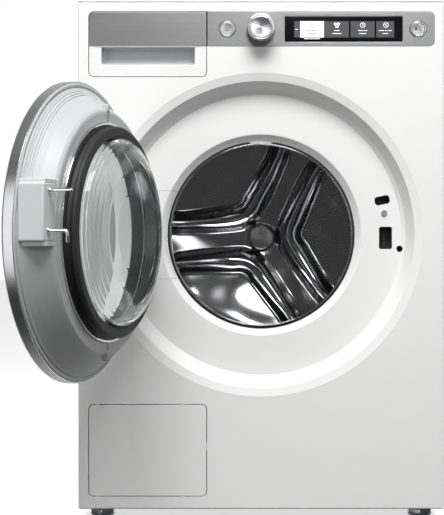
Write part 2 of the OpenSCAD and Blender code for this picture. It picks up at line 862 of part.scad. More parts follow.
module heater() {
  rod_drop = 242;
  color("silver") placed() {
    for (x = [-20, 20]) rod_y(x, drum_z - rod_drop, 3, 252, tub_back_y + 12);
    rod_x(250, drum_z - rod_drop, 3.6, -25, 25);
    block(-31.6, 31.6, tub_back_y - 4.6, tub_back_y + 6, drum_z - 245.6, drum_z - 234.4);
  }
}

module motor() {
  color("dimgray") placed() {
    difference() {
      union() {
        rod_y(motor_x, motor_z, motor_r, 350, 500);
        rod_y(motor_x, motor_z, 24, 500, 524);
      }
      rod_y(motor_x, motor_z, 6 + slide_gap, 490, 530);
    }
    // Cradle up to the tub
    difference() {
      for (y = [365, 470]) block(motor_x - 70, motor_x + 70, y, y + 12, motor_z, drum_z - 170);
      rod_y(0, drum_z, tub_r, tub_front_y, tub_back_y + 100);
      rod_y(motor_x, motor_z, motor_r, 340, 510);
    }
  }
}

module motor_pulley() {
  color("silver") placed() {
    rod_y(motor_x, motor_z, 6, 500, pulley_y1 + 2);
    rod_y(motor_x, motor_z, motor_pulley_r, pulley_y0, pulley_y1);
  }
}

// Outline around both pulleys, a given distance outside them.
module belt_outline(away) {
  hull() {
    translate([0, drum_z]) circle(r = pulley_r + away);
    translate([motor_x, motor_z]) circle(r = motor_pulley_r + away);
  }
}

module drive_belt() {
  color("black") placed()
    translate([0, pulley_y1 - 1, 0]) rotate([90, 0, 0])
      linear_extrude(height = pulley_y1 - pulley_y0 - 2) difference() {
        belt_outline(belt_gap + belt_t);
        belt_outline(belt_gap);
      }
}

module damper_cylinders() {
  color("dimgray") placed() for (side = [-1, 1], y = damper_y) difference() {
    union() {
      rod_z(side * damper_x, y, 13, 34, damper_top_z);
      rod_z(side * damper_x, y, 21, damper_top_z - 6, damper_top_z);
    }
    rod_z(side * damper_x, y, 6.5, 60, damper_top_z + 1);
  }
}

module damper_rods() {
  color("silver") placed() for (side = [-1, 1], y = damper_y) {
    rod_z(side * damper_x, y, 6.2, 110, damper_lug_z);
    rod_z(side * damper_x, y, 19, damper_lug_z - 4, damper_lug_z);
  }
}

module suspension_springs() {
  spring_h = damper_lug_z - 4 - damper_top_z;
  color("gray") placed() for (side = [-1, 1], y = damper_y)
    translate([side * damper_x, y, damper_top_z])
      linear_extrude(height = spring_h, twist = -360 * 5, slices = 40, segments = 6)
        translate([15, 0]) circle(r = 2.6, $fn = 6);
}

module rubber_hoses() {
  sump_top = drum_z - sqrt(tub_r * tub_r - pump_x * pump_x) - 20;
  fill_low = drum_z + sqrt(tub_r * tub_r - inlet_x * inlet_x) + 22;
  color("dimgray") placed() {
    difference() {
      rod_z(pump_x, 80, 17, pump_z + 45, sump_top);
      rod_z(pump_x, 80, 14.4, pump_z + 44, sump_top + 1);
    }
    difference() {
      rod_z(inlet_x, fill_y, 17, fill_low, 712);
      rod_z(inlet_x, fill_y, 14.4, fill_low - 1, 713);
    }
  }
}

// ---------- drum ----------

module drum_shell() {
  wall = 1.5;
  r = drum_r + wall;
  color("silver") placed() turned([
    [drum_r, drum_back_y], [r, drum_back_y], [r, 65], [r - 4.2, 60], [160, 58],
    [154.5, 59], [153, 62], [154.5, 63.5], [156.5, 61.2], [160, 59.6], [r - 5.2, 61.6],
    [drum_r, 66]
  ]);
}

// A bent bar with its corner near the axis, in the plane of the drum back.
module ridge_outline(width) {
  corner = 57;
  spread = 60;
  arm = 200;
  step = width / 2 / sin(spread);
  along = [cos(spread), sin(spread)];
  side = [-sin(spread) * width / 2, cos(spread) * width / 2];
  polygon([
    [corner - step, 0],
    [corner + along[0] * arm + side[0], along[1] * arm + side[1]],
    [corner + along[0] * arm - side[0], along[1] * arm - side[1]],
    [corner + step, 0],
    [corner + along[0] * arm - side[0], -along[1] * arm + side[1]],
    [corner + along[0] * arm + side[0], -along[1] * arm - side[1]]
  ]);
}

module drum_back() {
  ridge_h = 14;
  color("silver") placed() difference() {
    union() {
      rod_y(0, drum_z, drum_r - 0.1, drum_back_y, drum_back_y + 1.5);
      intersection() {
        for (turn = [4, 124, 244])
          translate([0, drum_back_y, drum_z]) rotate([90, 0, 0]) rotate([0, 0, turn])
            linear_extrude(height = ridge_h) ridge_outline(46);
        rod_y(0, drum_z, drum_r - 2, drum_back_y - 20, drum_back_y);
      }
    }
    // The pressing is hollow from behind
    intersection() {
      for (turn = [4, 124, 244])
        translate([0, drum_back_y + 2, drum_z]) rotate([90, 0, 0]) rotate([0, 0, turn])
          linear_extrude(height = ridge_h) ridge_outline(42);
      ring(24, drum_r - 4, drum_back_y - 20, drum_back_y + 2);
    }
  }
}

module drum_cap() {
  color("gray") placed()
    turned([[0, 392], [18, 393], [22, 396], [23, drum_back_y], [0, drum_back_y]]);
}

module drum_lifters() {
  color("silver") placed() intersection() {
    for (turn = [64, 184, 304])
      translate([0, 380, drum_z]) rotate([90, 0, 0]) rotate([0, 0, turn])
        linear_extrude(height = 280) difference() {
          polygon([[240, -34], [240, 34], [184, 14], [178, 8], [178, -8], [184, -14]]);
          polygon([[241, -30], [241, 30], [186, 11.5], [181, 6], [181, -6], [186, -11.5]]);
        }
    rod_y(0, drum_z, drum_r - 0.1, 60, 400);
  }
}

module drum_spider() {
  color("lightgray") placed() {
    for (turn = [64, 184, 304])
      translate([0, 434, drum_z]) rotate([90, 0, 0]) rotate([0, 0, turn])
        translate([0, -16, 0]) cube([222, 32, 21]);
    rod_y(0, drum_z, 38, 413, 434);
    rod_y(0, drum_z, shaft_r, 434, pulley_y1 + 8);
  }
}

module drum_pulley() {
  color("lightgray") placed() difference() {
    union() {
      rod_y(0, drum_z, 22, pulley_y0 - 8, pulley_y1 + 2);
      rod_y(0, drum_z, pulley_r - 6, pulley_y0 + 5, pulley_y1 - 4);
      ring(pulley_r - 12, pulley_r, pulley_y0, pulley_y1);
    }
    rod_y(0, drum_z, shaft_r, 500, 580);
    for (turn = [0:72:288]) {
      rod_y(80 * cos(turn), drum_z + 80 * sin(turn), 34, 500, 580);
    }
  }
}

// ---------- feet ----------

module foot(x) {
  translate([x, 45, 0]) {
    cylinder(r = 16, h = 2);
    translate([0, 0, 2]) cylinder(r1 = 16, r2 = 20, h = 8);
    translate([0, 0, 10]) cylinder(r = 20.8, h = foot_h - 14, $fn = 6);
    cylinder(r = 5, h = 46);
  }
}

module foot_left() {
  color("silver") placed() foot(-foot_x);
}

module foot_right() {
  color("silver") placed() foot(foot_x);
}

left_side_panel();
right_side_panel();
back_panel();
top_cover();
upper_crossbars();
base_pan();
front_panel();
control_fascia();
display_window();
control_board();
dispenser_housing();
inlet_valve();
drain_pump();
drain_pipe();
hinge_bracket();
hinge_cover();
hinge_pin();
door_lock();
fasteners();
opening_rim();
tub_bellows();
damper_cylinders();
suspension_springs();
mains_inlet();
rubber_hoses();
drawer_front();
drawer_trim();
drawer_tray();
power_button();
start_button();
knob_plunger();
program_knob();
pump_hatch();
filter_cap();
door_bezel();
door_outer_glass();
door_inner_frame();
door_clamp_ring();
door_gasket();
door_glass_bowl();
latch_cover();
latch_hooks();
hinge_leaf();
tub_front();
tub_rear();
counterweights();
heater();
motor();
drive_belt();
damper_rods();
bearings();
drum_shell();
drum_back();
drum_lifters();
drum_cap();
drum_spider();
drum_pulley();
motor_pulley();
foot_left();
foot_right();
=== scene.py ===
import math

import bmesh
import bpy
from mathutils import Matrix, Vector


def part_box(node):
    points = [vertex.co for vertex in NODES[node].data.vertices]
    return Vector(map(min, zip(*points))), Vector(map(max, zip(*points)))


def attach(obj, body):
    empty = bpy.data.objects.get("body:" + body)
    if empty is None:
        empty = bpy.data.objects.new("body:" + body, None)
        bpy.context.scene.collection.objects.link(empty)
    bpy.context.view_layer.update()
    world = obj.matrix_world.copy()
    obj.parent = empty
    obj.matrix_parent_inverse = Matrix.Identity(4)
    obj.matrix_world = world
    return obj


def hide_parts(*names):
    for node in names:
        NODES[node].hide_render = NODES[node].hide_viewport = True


# %% [markdown]
# # A front load washing machine
# The machine's structure is already designed: every part, joint and size comes in with the frame.
# This lesson dresses it. It builds the smooth visible pieces again with mesh operators, and gives
# every surface a finish made of nodes. All lengths are in metres, but the helpers take
# millimetres, measured as a maker would: X from the middle of the cabinet, Y from the front
# panel's face towards the back, Z up from the floor.

# %% Load the frame
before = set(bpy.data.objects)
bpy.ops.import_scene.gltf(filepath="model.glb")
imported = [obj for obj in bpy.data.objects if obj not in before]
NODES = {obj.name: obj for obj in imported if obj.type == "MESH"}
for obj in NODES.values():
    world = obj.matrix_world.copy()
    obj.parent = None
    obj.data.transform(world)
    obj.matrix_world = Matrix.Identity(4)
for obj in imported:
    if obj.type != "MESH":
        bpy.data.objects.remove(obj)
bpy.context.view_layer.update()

MM = 0.001

panel_low, panel_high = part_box("front_panel")
drum_low, drum_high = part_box("drum_shell")
MIDDLE_X = (panel_low.x + panel_high.x) / 2
FACE_Y = panel_low.y
DRUM_Z = (drum_low.z + drum_high.z) / 2 / MM
PANEL_TOP = panel_high.z / MM
PANEL_FOOT = panel_low.z / MM
HALF_W = (panel_high.x - panel_low.x) / 2 / MM
print("cabinet half width", round(HALF_W, 1), "mm, drum axis at", round(DRUM_Z, 1), "mm")


def at(x, y, z):
    """A point given in cabinet millimetres, as the frame's metres."""
    return Vector((MIDDLE_X + x * MM, FACE_Y + y * MM, z * MM))


# %% [markdown]
# ## Helpers that model
# Most of this machine is turned or pressed. A turned piece is a half section, spun about the
# drum's axis. A pressed sheet is a flat outline with holes, filled, then folded back at its edges.
# Both are few operator calls, and both give clean edges that a bevel can catch the light with.

# %% Round the corners of a section
def rounded(points, steps=4, margin=0.0):
    """Points are (a, b) or (a, b, radius): a corner with a radius becomes an arc.

    A margin adds a point on the straight, just before and after each arc, so that the smooth
    shading of the arc doesn't spread over the flat next to it."""
    out = []
    count = len(points)
    for i, p in enumerate(points):
        radius = p[2] if len(p) > 2 else 0
        here = Vector(p[:2])
        if radius == 0:
            out.append(here)
            continue
        back = (Vector(points[i - 1][:2]) - here).normalized()
        ahead = (Vector(points[(i + 1) % count][:2]) - here).normalized()
        half = math.acos(max(-1, min(1, back.dot(ahead)))) / 2
        reach = radius / math.tan(half)
        middle = here + (back + ahead).normalized() * radius / math.sin(half)
        first = here + back * reach - middle
        last = here + ahead * reach - middle
        sweep = math.pi - 2 * half
        turn = 1 if first.x * last.y - first.y * last.x > 0 else -1
        if margin:
            out.append(here + back * (reach + margin))
        for k in range(steps + 1):
            a = turn * sweep * k / steps
            c, s = math.cos(a), math.sin(a)
            out.append(middle + Vector((first.x * c - first.y * s, first.x * s + first.y * c)))
        if margin:
            out.append(here + ahead * (reach + margin))
    return out


# %% Finish a mesh: normals, sharp edges, object
def finish_mesh(bm, name, sharp=32, facing=None):
    """Makes an object with smooth shading, broken at edges sharper than the angle."""
    bmesh.ops.remove_doubles(bm, verts=bm.verts, dist=2e-6)
    bmesh.ops.recalc_face_normals(bm, faces=bm.faces)
    if facing is not None:
        broad = max(bm.faces, key=lambda f: f.calc_area())
        if broad.normal.dot(Vector(facing)) < 0:
            bmesh.ops.reverse_faces(bm, faces=bm.faces)
    for face in bm.faces:
        face.smooth = True
    for edge in bm.edges:
        edge.smooth = edge.calc_face_angle(0) < math.radians(sharp)
    mesh = bpy.data.meshes.new(name)
    bm.to_mesh(mesh)
    bm.free()
    obj = bpy.data.objects.new(name, mesh)
    bpy.context.scene.collection.objects.link(obj)
    return obj


# %% Spin a section about the drum's axis
def spin_section(bm, section, steps=128, closed=True, start=0.0, sweep=360.0):
    """Section is (radius, depth behind the front face); the angles run from +X towards +Z."""
    verts = [bm.verts.new(at(r, y, DRUM_Z)) for r, y in section]
    pairs = list(zip(verts, verts[1:]))
    if closed:
        pairs.append((verts[-1], verts[0]))
    edges = [bm.edges.new(pair) for pair in pairs]
    centre = at(0, 0, DRUM_Z)
    if start:
        bmesh.ops.rotate(bm, verts=verts, cent=centre,
                         matrix=Matrix.Rotation(-math.radians(start), 3, "Y"))
    bmesh.ops.spin(bm, geom=verts + edges, cent=centre, axis=(0, -1, 0),
                   angle=math.radians(sweep), steps=steps, use_merge=sweep == 360)


def turned(name, section, steps=128, closed=True, sharp=32):
    """A piece that is turned about the drum's axis."""
    bm = bmesh.new()
    spin_section(bm, rounded(section, margin=0.3 if closed else 0), steps, closed)
    return finish_mesh(bm, name, sharp)


def post(name, x, z, section, steps=64, sharp=32):
    """A piece that is turned about an axis of its own, along Y: (radius, depth)."""
    bm = bmesh.new()
    spin_section(bm, rounded(section, margin=0.15), steps)
    bmesh.ops.translate(bm, verts=bm.verts, vec=(x * MM, 0, (z - DRUM_Z) * MM))
    return finish_mesh(bm, name, sharp)


# %% Outlines that can be inset
def outline(*corners, steps=8):
    """A closed outline, anticlockwise, of (x, z, radius). Calling it with d insets it by d."""
    def inset(d=0.0):
        out = []
        for i, (x, z, r) in enumerate(corners):
            here = Vector((x, z))
            back = (Vector(corners[i - 1][:2]) - here).normalized()
            ahead = (Vector(corners[(i + 1) % len(corners)][:2]) - here).normalized()
            n1 = Vector((back.y, -back.x))
            n2 = Vector((-ahead.y, ahead.x))
            convex = back.y * ahead.x - back.x * ahead.y > 0
            spot = here + (n1 + n2) * d / (1 + n1.dot(n2))
            radius = max(0.05, r - d if convex else r + d) if r else 0
            out.append((spot.x, spot.y, radius))
        return rounded(out, steps)
    return inset


def box_outline(x0, x1, z0, z1, *radii):
    """Rounded rectangle; radii for lower left, lower right, upper right, upper left."""
    radii = radii * 4 if len(radii) == 1 else radii
    corners = [(x0, z0), (x1, z0), (x1, z1), (x0, z1)]
    return outline(*[(*c, r) for c, r in zip(corners, radii)])


def disc(x, z, radius, steps=64):
    def inset(d=0.0):
        angles = [2 * math.pi * i / steps for i in range(steps)]
        return [Vector((x + (radius - d) * math.cos(a), z + (radius - d) * math.sin(a)))
                for a in angles]
    return inset


# %% Plates: a flat face, a rounded lip, and the way back
def lip(radius, y0, y1, sign=1, steps=4):
    """Insets and depths of a rounded edge: a flat margin, the round, then straight back."""
    turns = [math.pi / 2 * k / steps for k in range(steps + 1)]
    return ([(sign * (radius + 0.6), y0)]
            + [(sign * radius * (1 - math.sin(a)), y0 + radius * (1 - math.cos(a)))
               for a in turns] + [(0, y1)])


def skirt(bm, shape, profile):
    """One outline at each (inset, depth), bridged to the next. Returns the loops of points."""
    loops = [[bm.verts.new(at(p.x, y, p.y)) for p in shape(d)] for d, y in profile]
    rings = [[bm.edges.new((loop[i - 1], loop[i])) for i in range(len(loop))] for loop in loops]
    for low, high in zip(rings, rings[1:]):
        bmesh.ops.bridge_loops(bm, edges=low + high)
    return loops


def fill(bm, loops):
    """Fills the flat area between an outer loop and the loops inside it."""
    edges = []
    for loop in loops:
        for i in range(len(loop)):
            pair = (loop[i - 1], loop[i])
            edges.append(bm.edges.get(pair) or bm.edges.new(pair))
    bmesh.ops.triangle_fill(bm, edges=edges, use_beauty=True, use_dissolve=False)


def plate(name, shape, y0, y1, holes=(), radius=0.5, steps=4, sharp=40):
    """A flat plate that faces the front, with rounded front edges and holes."""
    bm = bmesh.new()
    front, back = [], []
    for edge, sign in [(shape, 1)] + [(hole, -1) for hole in holes]:
        loops = skirt(bm, edge, lip(radius, y0, y1, sign, steps))
        front.append(loops[0])
        back.append(loops[-1])
    fill(bm, front)
    fill(bm, back)
    return finish_mesh(bm, name, sharp)


# %% A bevelled box
def crate(name, x0, x1, y0, y1, z0, z1, bevel=1.0, segments=3):
    """A box with rounded edges. A small inset keeps each flat side flat in its shading."""
    bm = bmesh.new()
    bmesh.ops.create_cube(bm, size=1)
    bmesh.ops.scale(bm, verts=bm.verts, vec=Vector((x1 - x0, y1 - y0, z1 - z0)) * MM)
    bmesh.ops.translate(bm, verts=bm.verts, vec=at((x0 + x1) / 2, (y0 + y1) / 2, (z0 + z1) / 2))
    bmesh.ops.bevel(bm, geom=list(bm.edges), offset=bevel * MM, segments=segments, profile=0.5,
                    affect="EDGES", material=-1)
    flats = sorted(bm.faces, key=lambda f: -f.calc_area())[:6]
    bmesh.ops.inset_individual(bm, faces=flats, thickness=min(0.3, bevel / 2) * MM)
    return finish_mesh(bm, name, 89)


# %% Cut, join and hand over
def cut(obj, *tools, how="DIFFERENCE", sharp=38, thickness=None):
    """Cuts each tool out of the piece, then throws the tools away."""
    if thickness:
        shell = obj.modifiers.new("shell", "SOLIDIFY")
        shell.thickness = thickness * MM
        shell.offset = -1
    for tool in tools:
        boolean = obj.modifiers.new("cut", "BOOLEAN")
        boolean.operation = how
        boolean.solver = "EXACT"
        boolean.object = tool
    bpy.context.view_layer.update()
    ready = obj.evaluated_get(bpy.context.evaluated_depsgraph_get())
    bm = bmesh.new()
    bm.from_mesh(ready.to_mesh())
    ready.to_mesh_clear()
    made = finish_mesh(bm, obj.name + "_cut", sharp)
    name = obj.name
    for used in (obj, *tools):
        bpy.data.objects.remove(used)
    made.name = name
    return made


def joined(name, *objs):
    """Several meshes as one piece."""
    bm = bmesh.new()
    for obj in objs:
        bm.from_mesh(obj.data)
        bpy.data.objects.remove(obj)
    mesh = bpy.data.meshes.new(name)
    bm.to_mesh(mesh)
    bm.free()
    made = bpy.data.objects.new(name, mesh)
    bpy.context.scene.collection.objects.link(made)
    return made


def hand_over(obj, body, material, *nodes, slot=None, name=None):
    """Gives the piece its finish and its body, and hides the CAD nodes that it stands for."""
    if name:
        obj.name = name
    obj.data.materials.clear()
    obj.data.materials.append(material)
    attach(obj, body)
    if nodes:
        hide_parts(*nodes)
    print("made", obj.name, len(obj.data.polygons), "faces on", body)
    return obj


# %% [markdown]
# ## Finishes
# Real surfaces are never one flat value. Each effect here is a node group that changes over the
# surface: a fine powder grain, the grain of a mould, brushed lines, soft smudges and a dot grid.
# A material then places the groups it needs, with its own scale, around its own shader.

# %% Node helpers
def new_group(name, inputs, outputs):
    group = bpy.data.node_groups.new(name, "ShaderNodeTree")
    for socket, kind, value in inputs:
        item = group.interface.new_socket(socket, in_out="INPUT", socket_type=kind)
        item.default_value = value
    for socket, kind in outputs:
        group.interface.new_socket(socket, in_out="OUTPUT", socket_type=kind)
    return group, group.nodes.new("NodeGroupInput"), group.nodes.new("NodeGroupOutput")


def math_node(tree, operation, a, b=None, c=None):
    node = tree.nodes.new("ShaderNodeMath")
    node.operation = operation
    for socket, value in zip(node.inputs, (a, b, c)):
        if value is None:
            continue
        if isinstance(value, (int, float)):
            socket.default_value = value
        else:
            tree.links.new(value, socket)
    return node.outputs[0]


def length_node(tree, a, b):
    """The length of a line, from its two sides."""
    squares = [math_node(tree, "MULTIPLY", side, side) for side in (a, b)]
    return math_node(tree, "SQRT", math_node(tree, "ADD", *squares))


# %% Grain: fine bumps with a slow cloud of tone over them
def make_grain_group():
    group, enter, leave = new_group(
        "Fine grain",
        [("Vector", "NodeSocketVector", (0, 0, 0)), ("Grain size", "NodeSocketFloat", 900.0),
         ("Cloud size", "NodeSocketFloat", 6.0)],
        [("Height", "NodeSocketFloat"), ("Cloud", "NodeSocketFloat")])
    fine = group.nodes.new("ShaderNodeTexNoise")
    fine.inputs["Detail"].default_value = 2
    fine.inputs["Roughness"].default_value = 0.4
    cloud = group.nodes.new("ShaderNodeTexNoise")
    cloud.inputs["Detail"].default_value = 4
    for node, size in ((fine, "Grain size"), (cloud, "Cloud size")):
        group.links.new(enter.outputs["Vector"], node.inputs["Vector"])
        group.links.new(enter.outputs[size], node.inputs["Scale"])
    group.links.new(fine.outputs["Fac"], leave.inputs["Height"])
    group.links.new(cloud.outputs["Fac"], leave.inputs["Cloud"])
    return group


GRAIN = make_grain_group()


# %% Brushed lines: noise pulled out along one direction
def make_brushed_group():
    group, enter, leave = new_group(
        "Brushed lines",
        [("Vector", "NodeSocketVector", (0, 0, 0)), ("Line size", "NodeSocketFloat", 1.0)],
        [("Height", "NodeSocketFloat"), ("Tone", "NodeSocketFloat")])
    lines = group.nodes.new("ShaderNodeTexNoise")
    lines.inputs["Detail"].default_value = 6
    lines.inputs["Roughness"].default_value = 0.7
    group.links.new(enter.outputs["Vector"], lines.inputs["Vector"])
    group.links.new(enter.outputs["Line size"], lines.inputs["Scale"])
    group.links.new(lines.outputs["Fac"], leave.inputs["Height"])
    tone = group.nodes.new("ShaderNodeMapRange")
    tone.inputs["From Min"].default_value = 0.3
    tone.inputs["From Max"].default_value = 0.7
    group.links.new(lines.outputs["Fac"], tone.inputs["Value"])
    group.links.new(tone.outputs["Result"], leave.inputs["Tone"])
    return group


BRUSHED = make_brushed_group()


# %% Dot grid: round dots in rows, each row moved half a pitch from the last
def make_dot_group():
    group, enter, leave = new_group(
        "Dot grid",
        [("Across", "NodeSocketFloat", 0.0), ("Along", "NodeSocketFloat", 0.0),
         ("Pitch", "NodeSocketFloat", 0.01), ("Dot", "NodeSocketFloat", 0.25)],
        [("Dot mask", "NodeSocketFloat"), ("Dish", "NodeSocketFloat")])
    across = math_node(group, "DIVIDE", enter.outputs["Across"], enter.outputs["Pitch"])
    along = math_node(group, "DIVIDE", enter.outputs["Along"], enter.outputs["Pitch"])
    row = math_node(group, "FLOOR", along)
    shift = math_node(group, "MULTIPLY", math_node(group, "MODULO", row, 2.0), 0.5)
    dx = math_node(group, "SUBTRACT",
                   math_node(group, "FRACT", math_node(group, "ADD", across, shift)), 0.5)
    dz = math_node(group, "SUBTRACT", math_node(group, "FRACT", along), 0.5)
    far = length_node(group, dx, dz)
    edge = group.nodes.new("ShaderNodeMapRange")
    edge.interpolation_type = "SMOOTHSTEP"
    soft_edge = 0.8
    inner = math_node(group, "MULTIPLY", enter.outputs["Dot"], soft_edge)
    group.links.new(far, edge.inputs["Value"])
    group.links.new(enter.outputs["Dot"], edge.inputs["From Max"])
    group.links.new(inner, edge.inputs["From Min"])
    edge.inputs["To Min"].default_value = 1
    edge.inputs["To Max"].default_value = 0
    group.links.new(edge.outputs["Result"], leave.inputs["Dot mask"])
    group.links.new(math_node(group, "MINIMUM", far, enter.outputs["Dot"]), leave.inputs["Dish"])
    return group


DOTS = make_dot_group()


# %% The frame of a material
class Finish:
    """One material: a Principled shader, object coordinates, and short calls to wire them."""

    def __init__(self, name, color, rough, metal=0.0):
        self.material = bpy.data.materials.new(name)
        self.material.use_nodes = True
        self.tree = self.material.node_tree
        self.shader = self.tree.nodes["Principled BSDF"]
        self.shader.inputs["Base Color"].default_value = (*color, 1)
        self.shader.inputs["Roughness"].default_value = rough
        self.shader.inputs["Metallic"].default_value = metal
        self.place = self.tree.nodes.new("ShaderNodeTexCoord").outputs["Object"]
        self.material.diffuse_color = (*color, 1)

    def mapped(self, scale=(1, 1, 1), centre=(0, 0, 0), turn=0.0):
        """Object coordinates about a centre, turned about Z, then scaled."""
        shift = self.tree.nodes.new("ShaderNodeMapping")
        shift.inputs["Location"].default_value = [-c for c in centre]
        spin = self.tree.nodes.new("ShaderNodeMapping")
        spin.inputs["Rotation"].default_value = (0, 0, turn)
        size = self.tree.nodes.new("ShaderNodeMapping")
        size.inputs["Scale"].default_value = scale
        self.tree.links.new(self.place, shift.inputs["Vector"])
        self.tree.links.new(shift.outputs[0], spin.inputs["Vector"])
        self.tree.links.new(spin.outputs[0], size.inputs["Vector"])
        return size.outputs[0]

    def split(self, centre, turn=0.0):
        """X, Y and Z about a centre, as separate sockets."""
        parts = self.tree.nodes.new("ShaderNodeSeparateXYZ")
        self.tree.links.new(self.mapped(centre=centre, turn=turn), parts.inputs[0])
        return [parts.outputs[axis] for axis in "XYZ"]

    def wrapped(self, radius, centre, turn=0.0):
        """The way round an axis along Y, as a length at this radius, and the way along it."""
        x, y, z = self.split(centre, turn)
        around = math_node(self.tree, "ARCTAN2", z, x)
        return math_node(self.tree, "MULTIPLY", around, radius), y

    def use(self, group, **values):
        """Places an effect; each value is a number or a socket, named with _ for a space."""
        node = self.tree.nodes.new("ShaderNodeGroup")
        node.node_tree = group
        for key, value in values.items():
            socket = node.inputs[key.replace("_", " ")]
            if isinstance(value, (int, float)):
                socket.default_value = value
            else:
                self.tree.links.new(value, socket)
        return node

    def vary(self, socket, mask, low, high):
        """A number that follows a mask between two limits."""
        span = self.tree.nodes.new("ShaderNodeMapRange")
        span.inputs["From Min"].default_value = 0.25
        span.inputs["From Max"].default_value = 0.75
        span.inputs["To Min"].default_value = low
        span.inputs["To Max"].default_value = high
        self.tree.links.new(mask, span.inputs["Value"])
        self.tree.links.new(span.outputs["Result"], self.shader.inputs[socket])

    def tint(self, mask, low, high, source=None, sharp=False):
        """Base colour that follows a mask between two colours."""
        ramp = self.tree.nodes.new("ShaderNodeMix")
        ramp.data_type = "RGBA"
        self.tree.links.new(mask, ramp.inputs[0])
        ramp.inputs[6].default_value = (*low, 1)
        ramp.inputs[7].default_value = (*high, 1)
        if source is not None:
            self.tree.links.new(source, ramp.inputs[6])
        self.tree.links.new(ramp.outputs[2], self.shader.inputs["Base Color"])
        return ramp.outputs[2]

    def bump(self, height, strength, distance):
        node = self.tree.nodes.new("ShaderNodeBump")
        node.inputs["Strength"].default_value = strength
        node.inputs["Distance"].default_value = distance
        self.tree.links.new(height, node.inputs["Height"])
        if self.shader.inputs["Normal"].is_linked:
            self.tree.links.new(self.shader.inputs["Normal"].links[0].from_socket,
                                node.inputs["Normal"])
        self.tree.links.new(node.outputs["Normal"], self.shader.inputs["Normal"])


# %% Painted, moulded, rubber and cast finishes
def grained(name, low, high, rough, grain, cloud, strength, distance, coat=0.0, metal=0.0,
            glow=0.0):
    """A plain coloured surface: two close tones, a roughness that drifts, and a fine bump."""
    f = Finish(name, low, rough, metal)
    g = f.use(GRAIN, Vector=f.place, Grain_size=grain, Cloud_size=cloud)
    f.tint(g.outputs["Cloud"], low, high)
    f.vary("Roughness", g.outputs["Cloud"], rough - 0.04, rough + 0.05)
    f.bump(g.outputs["Height"], strength, distance)
    f.shader.inputs["Coat Weight"].default_value = coat
    f.shader.inputs["Coat Roughness"].default_value = 0.2
    f.shader.inputs["Emission Strength"].default_value = glow
    return f.material


WHITE_PAINT = grained("white_powder_coat", (0.80, 0.80, 0.795), (0.83, 0.83, 0.825),
                      0.42, 700, 3, 0.12, 0.0002, coat=0.15)
WHITE_PLASTIC = grained("white_moulded", (0.79, 0.79, 0.785), (0.82, 0.82, 0.815),
                        0.36, 1500, 9, 0.10, 0.0001)
# Light grey moulding; on the drawer's grip pocket the same grey is painted shade.
GREY_PLASTIC_AND_PAINTED_SHADE = grained("light_grey_moulded_and_painted_shade", (0.50, 0.51, 0.515), (0.54, 0.55, 0.555),
                       0.40, 1400, 8, 0.14, 0.0001)
TUB_PLASTIC = grained("tub_moulded", (0.40, 0.41, 0.42), (0.46, 0.47, 0.48),
                      0.55, 600, 5, 0.25, 0.0003)
BLACK_PLASTIC = grained("black_moulded", (0.022, 0.022, 0.024), (0.035, 0.035, 0.037),
                        0.48, 1300, 10, 0.2, 0.0001)
RUBBER = grained("black_rubber", (0.014, 0.014, 0.015), (0.022, 0.022, 0.023),
                 0.52, 1100, 14, 0.18, 0.0001)
DARK_RUBBER = grained("dark_grey_rubber", (0.045, 0.046, 0.048), (0.06, 0.061, 0.063),
                      0.46, 1100, 14, 0.18, 0.0001)
CAST_IRON = grained("painted_casting", (0.10, 0.105, 0.11), (0.15, 0.155, 0.16),
                    0.62, 240, 12, 0.6, 0.0006)
BOARD = grained("circuit_board", (0.015, 0.08, 0.04), (0.02, 0.11, 0.055),
                0.35, 900, 20, 0.1, 0.0001)
LATCH_SATIN = grained("satin_latch_cover", (0.60, 0.605, 0.61), (0.64, 0.645, 0.65),
                      0.34, 1600, 9, 0.08, 0.0001)
FRAME_GREY = grained("door_frame_moulded", (0.47, 0.475, 0.48), (0.51, 0.515, 0.52),
                     0.36, 1500, 7, 0.08, 0.0001)
ALUMINIUM = grained("cast_aluminium", (0.55, 0.56, 0.57), (0.62, 0.63, 0.64),
                    0.45, 380, 14, 0.5, 0.0003, metal=1.0)
MARK_DARK = grained("printed_mark", (0.05, 0.05, 0.052), (0.07, 0.07, 0.072),
                    0.5, 900, 10, 0.05, 0.0001)
print("plain finishes made")


# %% Metal finishes
CONTROL_Z = 803


def brushed(name, low, high, rough, scale, strength=0.25, centre=None, turn=0.0, spun=0.0):
    """Metal with fine parallel lines. With a centre, its lines run round that centre. A spun
    one also stretches its highlights across its lines."""
    f = Finish(name, high, rough, metal=1.0)
    if spun:
        tangent = f.tree.nodes.new("ShaderNodeTangent")
        tangent.direction_type = "RADIAL"
        tangent.axis = "Y"
        f.tree.links.new(tangent.outputs[0], f.shader.inputs["Tangent"])
        f.shader.inputs["Anisotropic"].default_value = spun
    if centre is None:
        place = f.mapped(scale)
    else:
        x, y, z = f.split(centre, turn)
        rings = math_node(f.tree, "MULTIPLY", length_node(f.tree, x, z), scale[0])
        depth = math_node(f.tree, "MULTIPLY", y, scale[1])
        join = f.tree.nodes.new("ShaderNodeCombineXYZ")
        f.tree.links.new(rings, join.inputs["X"])
        f.tree.links.new(depth, join.inputs["Y"])
        place = join.outputs[0]
    b = f.use(BRUSHED, Vector=place)
    g = f.use(GRAIN, Vector=f.place, Grain_size=400.0, Cloud_size=7.0)
    f.tint(b.outputs["Tone"], low, high)
    f.vary("Roughness", g.outputs["Cloud"], rough - 0.03, rough + 0.05)
    if strength:
        f.bump(b.outputs["Height"], strength, 0.0001)
    return f.material


